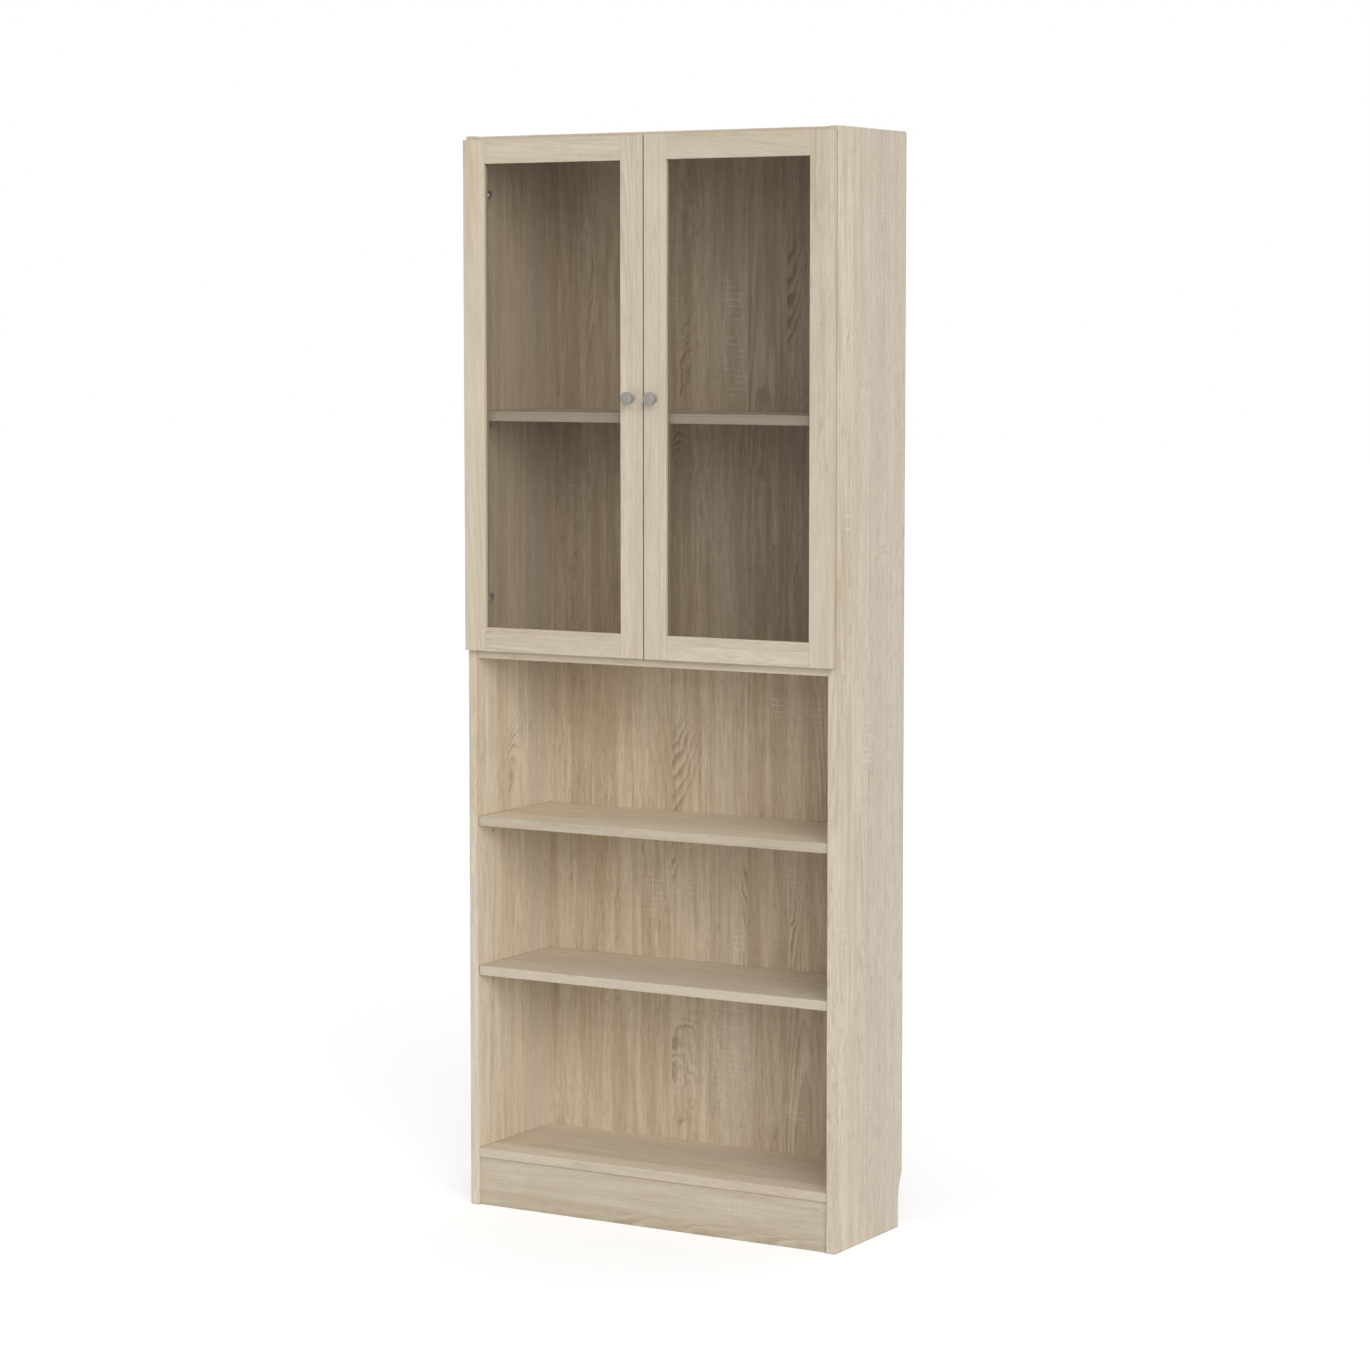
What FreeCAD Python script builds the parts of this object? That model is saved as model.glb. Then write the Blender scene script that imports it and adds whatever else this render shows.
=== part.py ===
import FreeCAD, Part
import math
import os

# A tall bookcase of coated board: framed glass doors over open bays, millimetres, +Z up.
# The origin is on the floor, in the middle of the overall width and depth. The doors face -Y.

V = FreeCAD.Vector
X = V(1, 0, 0)
Y = V(0, 1, 0)
Z = V(0, 0, 1)

# Driving dimensions of the carcass
overall_width = 795.0
overall_height = 2040.0
side_depth = 262.0
board = 18.0
edge_round = 0.8
top_drop = 1.0  # top board below the upper ends of the sides
fixed_setback = 3.0  # top, middle and bottom boards behind the front of the sides
fixed_shelf_height = 1056.0  # heights of shelves are those of their undersides
plinth_height = 93.0
plinth_setback = 6.0
notch_height = 100.0  # skirting cut-out at the rear foot of each side
notch_straight = 48.0
notch_depth = 12.4

# Loose shelves and the supports pegged into the sides
display_shelf_height = 1506.0
open_shelf_upper_height = 734.0
open_shelf_lower_height = 446.0
shelf_setback = 5.0
shelf_side_gap = 0.5
shelf_back_gap = 1.0
support_inset = 52.0  # from the front and from the rear of the sides
support_width = 10.0
support_height = 16.0
support_plate = 2.0
support_ledge = 9.0
support_ledge_thickness = 2.5
peg_radius = 2.5
peg_length = 9.0

# Thin back in two boards, nailed on
back_thickness = 3.0
back_inset = 1.0
back_seam = 1.0
nail_radius = 0.8
nail_length = 20.0
nail_head_radius = 2.2
nail_head_height = 0.8
nail_pitch = 145.0
nail_end_distance = 60.0

# Cam fastenings and dowels of the fixed boards
cam_inset = 50.0  # from the front and from the rear of the sides
cam_radius = 7.5
cam_height = 13.5
cam_slot_length = 9.0
cam_slot_width = 1.4
cam_slot_depth = 2.0
bolt_reach = 24.0
bolt_thread_radius = 2.5
bolt_thread_length = 11.0
bolt_shank_radius = 2.2
bolt_head_radius = 3.4
bolt_head_length = 4.0
bolt_room = 0.3  # round the bolt in its bore
dowel_radius = 4.0
dowel_in_side = 10.0
dowel_in_board = 20.0
plinth_dowel_inset = 150.0

# Doors
door_thickness = 13.0
door_gap = 1.2  # between the sides' front edges and the doors
door_side_inset = 1.8
door_meeting_gap = 2.5
door_top_reveal = 7.4
door_shelf_reveal = 15.3
stile_width = 48.0
rail_width = 45.5
lip_depth = 7.0  # frame in front of the glass
rebate_width = 8.0
glass_thickness = 3.0
glass_edge_gap = 0.5
frame_dowel_radius = 3.0
frame_dowel_length = 30.0
frame_dowel_spacing = 18.0
bumper_radius = 4.0
bumper_end_distance = 7.0
bumper_side_distance = 24.0
bumper_gap = 0.3

# Knobs
knob_inset = 23.0  # from the door's meeting edge
knob_projection = 23.0
knob_radius = 12.0
knob_foot_radius = 7.0
knob_neck_radius = 5.0
knob_foot_height = 2.0
knob_rim_height = 17.0  # of the widest ring above the door
knob_dome_height = 1.6
knob_screw_radius = 2.0
knob_screw_depth = 9.0  # of thread in the knob
knob_screw_head_radius = 4.0
knob_screw_head_height = 2.4

# Concealed hinges, two to a door
hinge_end_distance = 100.0  # from the door's upper and lower ends
cup_edge_distance = 17.0  # from the door's outer edge to the cup's centre
cup_radius = 13.0
cup_wall = 1.2
cup_depth = 10.4
cup_floor = 0.6
flange_thickness = 1.2
flange_width = 12.0
flange_length = 50.0
cup_screw_spread = 38.0
cup_screw_radius = 1.75
cup_screw_head_radius = 3.0
cup_screw_length = 10.0
plate_thickness = 3.0
plate_front = 12.0  # depths along the side are taken from its front edge
plate_rear = 45.0
plate_height = 16.0
wing_length = 44.0
wing_width = 12.0
wing_depth = 28.0
plate_screw_spread = 32.0
plate_screw_radius = 2.4
plate_screw_length = 14.0
plate_screw_head_radius = 4.0
plate_screw_head_height = 2.0
saddle_front = 22.0
saddle_rear = 40.0
arm_height = 13.0  # from the side's face to the outside of the arm's web
arm_wall = 1.5
arm_rear = 42.0
arm_nose = 3.4  # round the pivots
arm_screw_radius = 2.0
arm_screw_depth = 6.0
arm_screw_head_radius = 3.2
arm_screw_head_height = 1.6
pivot_radius = 1.2
link_height = 4.0
link_width = 2.6
link_eye_radius = 2.3
link_spacing = 0.6  # between the outer and the inner link
link_side_gap = 0.3  # between a link and the arm's cheek

# Pivots of the links: distance from the side's face and from its front edge
outer_pivot_reach = 17.0
outer_pivot_depth = 11.0
inner_pivot_reach = 22.8
inner_pivot_depth = 12.7

# Points in the cup: distance from the door's outer edge and depth below the door's back
cup_pin_edge = 8.6
cup_pin_depth = 2.2
outer_bend_edge = 14.5
outer_bend_depth = 6.6
inner_bend_edge = 17.8
inner_bend_depth = 8.0
inner_tip_edge = 8.5
inner_tip_depth = 7.4

# Fits
running_gap = 0.04  # radial, pivots in their links
seat_gap = 0.05  # radial, fixed pieces in their holes
blind_gap = 1.0  # at the end of a blind hole

# Planes shared by all pieces
half_width = overall_width / 2
inner_x = half_width - board
total_depth = (knob_projection + door_thickness + door_gap + side_depth
               + back_thickness + nail_head_height)
front_y = knob_projection + door_thickness + door_gap - total_depth / 2
rear_y = front_y + side_depth
back_y = rear_y + back_thickness
door_back_y = front_y - door_gap
door_front_y = door_back_y - door_thickness
door_outer_x = half_width - door_side_inset
door_inner_x = door_meeting_gap / 2
door_bottom = fixed_shelf_height + door_shelf_reveal
door_top = overall_height - door_top_reveal
top_board_height = overall_height - top_drop - board
fixed_board_heights = [plinth_height, fixed_shelf_height, top_board_height]
loose_shelf_heights = [open_shelf_lower_height, open_shelf_upper_height, display_shelf_height]
cam_depths = [front_y + cam_inset, rear_y - cam_inset]
cam_x = inner_x - bolt_reach
board_dowel_y = (front_y + rear_y) / 2
support_depths = [front_y + support_inset, rear_y - support_inset]
plinth_middle_y = front_y + plinth_setback + board / 2
plinth_dowel_places = [-(inner_x - plinth_dowel_inset), inner_x - plinth_dowel_inset]
seam_height = fixed_shelf_height + board / 2
hinge_heights = [door_bottom + hinge_end_distance, door_top - hinge_end_distance]
cup_x = door_outer_x - cup_edge_distance
screw_line_y = front_y + wing_depth
knob_x = door_inner_x + knob_inset
knob_z = (door_bottom + door_top) / 2


def box(x, y, z):
    return Part.makeBox(x[1] - x[0], y[1] - y[0], z[1] - z[0], V(x[0], y[0], z[0]))


def rod(start, end, radius):
    span = end.sub(start)
    return Part.makeCylinder(radius, span.Length, start, span)


def join(shapes):
    return shapes[0].fuse(shapes[1:]).removeSplitter()


def prism(points, start, span):
    # A straight-sided outline given as points, swept along a vector
    wire = Part.makePolygon([point.add(start) for point in points + points[:1]])
    return Part.Face(wire).extrude(span)


def ease(shape, wanted):
    # Rounds the edges whose middle point is wanted
    edges = [edge for edge in shape.Edges if wanted(edge.CenterOfMass)]
    return shape.makeFillet(edge_round, edges)


def at(value, plane):
    return abs(value - plane) < edge_round / 4


def mirrored(shape):
    return shape.mirror(V(), X)


def on_both_sides(shapes):
    return shapes + [mirrored(shape) for shape in shapes]


def save(name, *solids):
    shape = solids[0] if len(solids) == 1 else Part.makeCompound(list(solids))
    shape.exportStep("parts/" + name + ".step")


def spaced(first, last):
    # Even places from first to last, about one nail pitch apart
    count = max(1, round((last - first) / nail_pitch))
    return [first + (last - first) * i / count for i in range(count + 1)]


# Fastenings, each modelled on the right-hand side


def cam_bolt(y, z):
    thread = rod(V(inner_x, y, z), V(inner_x + bolt_thread_length, y, z), bolt_thread_radius)
    shank = rod(V(cam_x, y, z), V(inner_x, y, z), bolt_shank_radius)
    head_start = V(cam_x - bolt_head_length / 2, y, z)
    head = rod(head_start, head_start.add(X * bolt_head_length), bolt_head_radius)
    return join([thread, shank, head])


def bolt_bore(y, z):
    start = V(cam_x - bolt_head_length / 2 - bolt_room, y, z)
    return rod(start, V(inner_x, y, z), bolt_head_radius + bolt_room)


def bolt_thread_hole(y, z):
    end = V(inner_x + bolt_thread_length + blind_gap, y, z)
    return rod(V(inner_x, y, z), end, bolt_thread_radius + seat_gap)


def cam_lock(y, underside):
    base = V(cam_x, y, underside)
    drum = rod(base, base.add(Z * cam_height), cam_radius)
    slot = box((cam_x - cam_slot_length / 2, cam_x + cam_slot_length / 2),
               (y - cam_slot_width / 2, y + cam_slot_width / 2),
               (underside, underside + cam_slot_depth))
    return drum.cut([bolt_bore(y, underside + board / 2), slot])


def cam_recess(y, underside):
    base = V(cam_x, y, underside)
    return rod(base, base.add(Z * (cam_height + seat_gap)), cam_radius + seat_gap)


def side_dowel(y, z):
    return rod(V(inner_x - dowel_in_board, y, z), V(inner_x + dowel_in_side, y, z), dowel_radius)


def side_dowel_hole(y, z):
    start = V(inner_x - dowel_in_board - blind_gap, y, z)
    end = V(inner_x + dowel_in_side + blind_gap, y, z)
    return rod(start, end, dowel_radius + seat_gap)


def plinth_dowel(x):
    start = V(x, plinth_middle_y, plinth_height - dowel_in_board)
    return rod(start, V(x, plinth_middle_y, plinth_height + dowel_in_side), dowel_radius)


def plinth_dowel_hole(x):
    start = V(x, plinth_middle_y, plinth_height - dowel_in_board - blind_gap)
    end = V(x, plinth_middle_y, plinth_height + dowel_in_side + blind_gap)
    return rod(start, end, dowel_radius + seat_gap)


def nail(x, z):
    tip = V(x, back_y - nail_length, z)
    shaft = rod(tip, V(x, back_y, z), nail_radius)
    head = rod(V(x, back_y, z), V(x, back_y + nail_head_height, z), nail_head_radius)
    return join([shaft, head])


def nail_hole(x, z):
    return rod(V(x, back_y - nail_length - blind_gap, z), V(x, back_y, z), nail_radius + seat_gap)


def shelf_support(y, underside):
    # A peg in the side, an upright plate and a ledge under the shelf
    ys = (y - support_width / 2, y + support_width / 2)
    plate = box((inner_x - support_plate, inner_x), ys, (underside - support_height, underside))
    ledge = box((inner_x - support_ledge, inner_x), ys,
                (underside - support_ledge_thickness, underside))
    peg_z = underside - support_height / 2
    peg = rod(V(inner_x, y, peg_z), V(inner_x + peg_length, y, peg_z), peg_radius)
    return join([plate, ledge, peg])


def peg_hole(y, underside):
    peg_z = underside - support_height / 2
    end = V(inner_x + peg_length + blind_gap, y, peg_z)
    return rod(V(inner_x, y, peg_z), end, peg_radius + seat_gap)


# Nail places of the two back boards, as (x, z)
back_bottom = notch_height
back_top = overall_height - top_drop - back_inset
side_nail_x = half_width - board / 2
across = spaced(-(inner_x - nail_end_distance), inner_x - nail_end_distance)
lower_seam_z = seam_height - board / 4
upper_seam_z = seam_height + board / 4
bottom_row_z = (back_bottom + plinth_height + board) / 2
top_row_z = top_board_height + board / 2
lower_ladder = spaced(back_bottom + nail_end_distance, seam_height - nail_end_distance)
upper_ladder = spaced(seam_height + nail_end_distance, back_top - nail_end_distance)


def ladder(heights):
    return [(sign * side_nail_x, z) for z in heights for sign in (-1, 1)]


lower_nails = ladder(lower_ladder) + [(x, z) for z in (bottom_row_z, lower_seam_z) for x in across]
upper_nails = ladder(upper_ladder) + [(x, z) for z in (upper_seam_z, top_row_z) for x in across]
nail_holes = [nail_hole(x, z) for x, z in lower_nails + upper_nails]


# Carcass boards


def side_panel():
    # Outline in the plane of the board, with the skirting cut-out as a line and a tangent arc
    rise = notch_height - notch_straight
    arc_radius = (rise ** 2 + notch_depth ** 2) / (2 * notch_depth)
    half_turn = math.asin(rise / arc_radius) / 2
    foot_y = rear_y - notch_depth
    arc_middle = V(inner_x, foot_y + arc_radius * (1 - math.cos(half_turn)),
                   notch_straight + arc_radius * math.sin(half_turn))
    corners = [(foot_y, notch_straight), (foot_y, 0), (front_y, 0), (front_y, overall_height),
               (rear_y, overall_height), (rear_y, notch_height)]
    points = [V(inner_x, y, z) for y, z in corners]
    straight = [Part.LineSegment(a, b).toShape() for a, b in zip(points, points[1:])]
    curve = Part.Arc(points[-1], arc_middle, points[0]).toShape()
    panel = Part.Face(Part.Wire(straight + [curve])).extrude(X * board)
    panel = ease(panel, lambda p: at(p.y, front_y) or at(p.z, overall_height))
    holes = []
    for underside in fixed_board_heights:
        z = underside + board / 2
        holes += [bolt_thread_hole(y, z) for y in cam_depths]
        holes.append(side_dowel_hole(board_dowel_y, z))
    holes.append(side_dowel_hole(plinth_middle_y, plinth_height / 2))
    holes += [peg_hole(y, z) for z in loose_shelf_heights for y in support_depths]
    holes += [plate_screw_hole(z) for z in hinge_heights]
    return panel.cut(holes + nail_holes)


def fixed_board(underside):
    z = underside + board / 2
    panel = box((-inner_x, inner_x), (front_y + fixed_setback, rear_y), (underside, underside + board))
    panel = ease(panel, lambda p: at(p.y, front_y + fixed_setback) and not at(abs(p.x), inner_x))
    holes = [bolt_bore(y, z) for y in cam_depths]
    holes += [cam_recess(y, underside) for y in cam_depths]
    holes.append(side_dowel_hole(board_dowel_y, z))
    return panel.cut(on_both_sides(holes) + nail_holes)


def bottom_board():
    return fixed_board(plinth_height).cut([plinth_dowel_hole(x) for x in plinth_dowel_places])


def plinth_board():
    front = front_y + plinth_setback
    panel = box((-inner_x, inner_x), (front, front + board), (0, plinth_height))
    ends = on_both_sides([side_dowel_hole(plinth_middle_y, plinth_height / 2)])
    return panel.cut(ends + [plinth_dowel_hole(x) for x in plinth_dowel_places])


def loose_shelf(underside):
    reach = inner_x - shelf_side_gap
    front = front_y + shelf_setback
    panel = box((-reach, reach), (front, rear_y - shelf_back_gap), (underside, underside + board))
    return ease(panel, lambda p: at(p.y, front))


def back_board(bottom, top):
    reach = half_width - back_inset
    panel = box((-reach, reach), (rear_y, back_y), (bottom, top))
    return panel.cut(nail_holes)


# Right-hand door: a frame of two full-height stiles and two rails, rebated for the glass
opening_x = (door_inner_x + stile_width, door_outer_x - stile_width)
opening_z = (door_bottom + rail_width, door_top - rail_width)
rebate_x = (opening_x[0] - rebate_width, opening_x[1] + rebate_width)
rebate_z = (opening_z[0] - rebate_width, opening_z[1] + rebate_width)
glass_front_y = door_front_y + lip_depth
glass_back_y = glass_front_y + glass_thickness
door_middle_y = (door_front_y + door_back_y) / 2
rail_middles = [door_bottom + rail_width / 2, door_top - rail_width / 2]


def frame_piece(x, z):
    piece = box(x, (door_front_y, door_back_y), z)
    piece = ease(piece, lambda p: at(p.y, door_front_y))
    return piece.cut(box(rebate_x, (glass_front_y, door_back_y), rebate_z))


def frame_dowels(radius, spare):
    reach = frame_dowel_length / 2 + spare
    dowels = []
    for x in opening_x:
        for middle in rail_middles:
            for z in (middle - frame_dowel_spacing / 2, middle + frame_dowel_spacing / 2):
                dowels.append(rod(V(x - reach, door_middle_y, z), V(x + reach, door_middle_y, z), radius))
    return dowels


def glass_pane():
    x = (rebate_x[0] + glass_edge_gap, rebate_x[1] - glass_edge_gap)
    z = (rebate_z[0] + glass_edge_gap, rebate_z[1] - glass_edge_gap)
    return box(x, (glass_front_y, glass_back_y), z)


def glass_beads():
    # Two upright beads over the full height, two level ones between them
    ys = (glass_back_y, door_back_y)
    uprights = [box((rebate_x[0], opening_x[0]), ys, rebate_z),
                box((opening_x[1], rebate_x[1]), ys, rebate_z)]
    levels = [box(opening_x, ys, (rebate_z[0], opening_z[0])),
              box(opening_x, ys, (opening_z[1], rebate_z[1]))]
    return uprights + levels


def knob():
    # Half section from the door outwards: foot, waisted neck, widest ring and shallow dome
    def point(radius, height):
        return V(knob_x + radius, door_front_y - height, knob_z)

    waist_height = (knob_foot_height + knob_rim_height) / 2
    dome_start = knob_projection - knob_dome_height
    ball_radius = (knob_radius ** 2 + knob_dome_height ** 2) / (2 * knob_dome_height)
    half_turn = math.asin(knob_radius / ball_radius) / 2
    shoulder_height = knob_projection - ball_radius * (1 - math.cos(half_turn))
    neck = Part.Arc(point(knob_foot_radius, knob_foot_height), point(knob_neck_radius, waist_height),
                    point(knob_radius, knob_rim_height))
    dome = Part.Arc(point(knob_radius, dome_start), point(ball_radius * math.sin(half_turn), shoulder_height),
                    point(0, knob_projection))
    foot_face = Part.LineSegment(point(0, 0), point(knob_foot_radius, 0))
    foot_side = Part.LineSegment(point(knob_foot_radius, 0), point(knob_foot_radius, knob_foot_height))
    rim = Part.LineSegment(point(knob_radius, knob_rim_height), point(knob_radius, dome_start))
    axis = Part.LineSegment(point(0, knob_projection), point(0, 0))
    edges = [line.toShape() for line in (foot_face, foot_side, neck, rim, dome, axis)]
    body = Part.Face(Part.Wire(edges)).revolve(point(0, 0), Y, 360)
    thread = rod(point(0, 0), point(0, knob_screw_depth + blind_gap), knob_screw_radius + seat_gap)
    return body.cut(thread)


def knob_screw():
    tip = V(knob_x, door_front_y - knob_screw_depth, knob_z)
    back = V(knob_x, door_back_y, knob_z)
    head = rod(back, back.add(Y * knob_screw_head_height), knob_screw_head_radius)
    return join([rod(tip, back, knob_screw_radius), head])


def knob_screw_hole():
    start = V(knob_x, door_front_y, knob_z)
    return rod(start, V(knob_x, door_back_y, knob_z), knob_screw_radius + seat_gap)


def door_bumper():
    # Closes on the front edge of the top board
    x = door_inner_x + bumper_side_distance
    start = V(x, door_back_y, door_top - bumper_end_distance)
    return rod(start, start.add(Y * (door_gap + fixed_setback - bumper_gap)), bumper_radius)


# Right-hand hinges, each at its own height z


def side_point(reach, depth, z):
    return V(inner_x - reach, front_y + depth, z)


def cup_point(edge, depth, z):
    return V(door_outer_x - edge, door_back_y - depth, z)


def outer_link_span(z):
    return z + link_spacing / 2, z + link_spacing / 2 + link_height


def inner_link_span(z):
    return z - link_spacing / 2 - link_height, z - link_spacing / 2


def cheek_inside():
    return link_spacing / 2 + link_height + link_side_gap


def cup_screw(z, room):
    back = cup_point(cup_edge_distance, 0, z)
    head_height = flange_thickness
    head = Part.makeCone(cup_screw_head_radius + room, cup_screw_radius + room, head_height, back, -Y)
    tip = cup_point(cup_edge_distance, cup_screw_length + (blind_gap if room else 0), z)
    return join([head, rod(back, tip, cup_screw_radius + room)])


def cup_screws(z, room):
    return [cup_screw(z + side * cup_screw_spread / 2, room) for side in (-1, 1)]


def cup_pin(z, room):
    # Held in the cup's upper wall, and ending inside it
    farthest = cup_edge_distance - cup_pin_edge + pivot_radius
    chord = math.sqrt((cup_radius - cup_wall / 2) ** 2 - farthest ** 2)
    start = cup_point(cup_pin_edge, cup_pin_depth, outer_link_span(z)[0])
    end = cup_point(cup_pin_edge, cup_pin_depth, z + chord)
    return rod(start, end, pivot_radius + room)


def cup_outline(z, room):
    # The cup and its flange as solid blanks, let flush into the door's back
    back = cup_point(cup_edge_distance, 0, z)
    bowl = rod(back, back.sub(Y * (cup_depth + room)), cup_radius + room)
    flange = box((cup_x - flange_width / 2 - room, cup_x + flange_width / 2 + room),
                 (door_back_y - flange_thickness - room, door_back_y),
                 (z - flange_length / 2 - room, z + flange_length / 2 + room))
    return join([bowl, flange])


def hinge_cup(z):
    back = cup_point(cup_edge_distance, 0, z)
    hollow = rod(back, back.sub(Y * (cup_depth - cup_floor)), cup_radius - cup_wall)
    return cup_outline(z, 0).cut([hollow, cup_pin(z, seat_gap)] + cup_screws(z, seat_gap))


def hinge_stile():
    stile = frame_piece((opening_x[1], door_outer_x), (door_bottom, door_top))
    cuts = frame_dowels(frame_dowel_radius + seat_gap, blind_gap)
    for z in hinge_heights:
        cuts += [cup_outline(z, seat_gap)] + cup_screws(z, seat_gap)
    return stile.cut(cuts)


def meeting_stile():
    stile = frame_piece((door_inner_x, opening_x[0]), (door_bottom, door_top))
    return stile.cut(frame_dowels(frame_dowel_radius + seat_gap, blind_gap) + [knob_screw_hole()])


def door_rail(z):
    return frame_piece(opening_x, z).cut(frame_dowels(frame_dowel_radius + seat_gap, blind_gap))


def plate_screw(z):
    seat = side_point(plate_thickness, wing_depth, z)
    head = rod(seat.sub(X * plate_screw_head_height), seat, plate_screw_head_radius)
    return join([head, rod(seat, seat.add(X * plate_screw_length), plate_screw_radius)])


def plate_screws(z):
    return [plate_screw(z + side * plate_screw_spread / 2) for side in (-1, 1)]


def plate_screw_hole(z):
    holes = []
    for side in (-1, 1):
        start = side_point(plate_thickness, wing_depth, z + side * plate_screw_spread / 2)
        end = start.add(X * (plate_screw_length + blind_gap))
        holes.append(rod(start, end, plate_screw_radius + seat_gap))
    return Part.makeCompound(holes)


def arm_screw(z, room):
    web = side_point(arm_height, (saddle_front + saddle_rear) / 2, z)
    shaft = rod(web, web.add(X * (arm_wall + arm_screw_depth + room)), arm_screw_radius + room)
    head = rod(web.sub(X * arm_screw_head_height), web, arm_screw_head_radius)
    return join([shaft, head])


def hinge_plate(z):
    # A foot on the side, wings for the screws and a saddle that fills the arm
    foot = box((inner_x - plate_thickness, inner_x), (front_y + plate_front, front_y + plate_rear),
               (z - plate_height / 2, z + plate_height / 2))
    wings = box((inner_x - plate_thickness, inner_x),
                (screw_line_y - wing_width / 2, screw_line_y + wing_width / 2),
                (z - wing_length / 2, z + wing_length / 2))
    half = cheek_inside() - seat_gap
    saddle = box((inner_x - arm_height + arm_wall, inner_x),
                 (front_y + saddle_front, front_y + saddle_rear), (z - half, z + half))
    return join([foot, wings, saddle]).cut([plate_screw_hole(z), arm_screw(z, seat_gap)])


def arm_pivot(reach, depth, span):
    return rod(side_point(reach, depth, span[0]), side_point(reach, depth, span[1]), pivot_radius)


def arm_pivots(z):
    # One short rivet in each cheek, the upper for the outer link and the lower for the inner link
    outside = cheek_inside() + arm_wall
    upper = arm_pivot(outer_pivot_reach, outer_pivot_depth, (outer_link_span(z)[0], z + outside))
    lower = arm_pivot(inner_pivot_reach, inner_pivot_depth, (z - outside, inner_link_span(z)[1]))
    return [upper, lower]


def hinge_arm(z):
    # A channel: two cheeks on the plate's foot, joined by a web behind the links
    nose_reach = inner_pivot_reach + arm_nose
    nose_front = min(outer_pivot_depth, inner_pivot_depth) - arm_nose
    nose_rear = max(outer_pivot_depth, inner_pivot_depth) + arm_nose
    outline = [(plate_thickness, nose_front), (nose_reach, nose_front), (nose_reach, nose_rear),
               (arm_height, saddle_front), (arm_height, arm_rear), (plate_thickness, arm_rear)]
    points = [side_point(reach, depth, 0) for reach, depth in outline]
    inside = cheek_inside()
    cheeks = [prism(points, Z * (z + inside), Z * arm_wall), prism(points, Z * (z - inside), Z * -arm_wall)]
    web = box((inner_x - arm_height, inner_x - arm_height + arm_wall),
              (front_y + saddle_front, front_y + arm_rear), (z - inside, z + inside))
    holes = [pivot_hole(pivot) for pivot in arm_pivots(z)]
    return join(cheeks + [web]).cut(holes + [arm_screw(z, seat_gap)])


def pivot_hole(pivot):
    ends = pivot.BoundBox
    x, y = ends.Center.x, ends.Center.y
    return rod(V(x, y, ends.ZMin), V(x, y, ends.ZMax), pivot_radius + seat_gap)


def link(points, span, eyes):
    # A bent flat bar through three points, with an eye at each pivot and a round tip elsewhere
    low = Z * span[0]
    height = Z * (span[1] - span[0])
    shapes = []
    for start, end in zip(points, points[1:]):
        along = end.sub(start)
        aside = V(-along.y, along.x, 0).normalize() * (link_width / 2)
        corners = [start.add(aside), end.add(aside), end.sub(aside), start.sub(aside)]
        shapes.append(prism(corners, low, height))
    for place in points:
        radius = link_eye_radius if place in eyes else link_width / 2
        shapes.append(rod(place.add(low), place.add(low).add(height), radius))
    bar = join(shapes)
    return bar.cut([rod(eye.add(low), eye.add(low).add(height), pivot_radius + running_gap) for eye in eyes])


def outer_link(z):
    pivot = side_point(outer_pivot_reach, outer_pivot_depth, 0)
    bend = cup_point(outer_bend_edge, outer_bend_depth, 0)
    pin = cup_point(cup_pin_edge, cup_pin_depth, 0)
    return link([pivot, bend, pin], outer_link_span(z), [pivot, pin])


def inner_link(z):
    pivot = side_point(inner_pivot_reach, inner_pivot_depth, 0)
    bend = cup_point(inner_bend_edge, inner_bend_depth, 0)
    tip = cup_point(inner_tip_edge, inner_tip_depth, 0)
    return link([pivot, bend, tip], inner_link_span(z), [pivot])


def flat(lists):
    return [shape for shapes in lists for shape in shapes]


os.makedirs("parts", exist_ok=True)

# Carcass
save("left_side_panel", mirrored(side_panel()))
save("right_side_panel", side_panel())
save("top_panel", fixed_board(top_board_height))
save("fixed_shelf", fixed_board(fixed_shelf_height))
save("bottom_shelf", bottom_board())
save("plinth_board", plinth_board())
save("open_shelf_lower", loose_shelf(open_shelf_lower_height))
save("open_shelf_upper", loose_shelf(open_shelf_upper_height))
save("display_shelf", loose_shelf(display_shelf_height))
save("lower_back_panel", back_board(back_bottom, seam_height - back_seam / 2))
save("upper_back_panel", back_board(seam_height + back_seam / 2, back_top))

# Fastenings of the carcass
cam_places = [(y, z) for z in fixed_board_heights for y in cam_depths]
save("cam_bolts", *on_both_sides([cam_bolt(y, z + board / 2) for y, z in cam_places]))
save("cam_locks", *on_both_sides([cam_lock(y, z) for y, z in cam_places]))
board_dowels = [side_dowel(board_dowel_y, z + board / 2) for z in fixed_board_heights]
board_dowels.append(side_dowel(plinth_middle_y, plinth_height / 2))
save("board_dowels", *on_both_sides(board_dowels), *[plinth_dowel(x) for x in plinth_dowel_places])
support_places = [(y, z) for z in loose_shelf_heights for y in support_depths]
save("shelf_supports", *on_both_sides([shelf_support(y, z) for y, z in support_places]))
save("back_nails", *[nail(x, z) for x, z in lower_nails + upper_nails])

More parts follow.
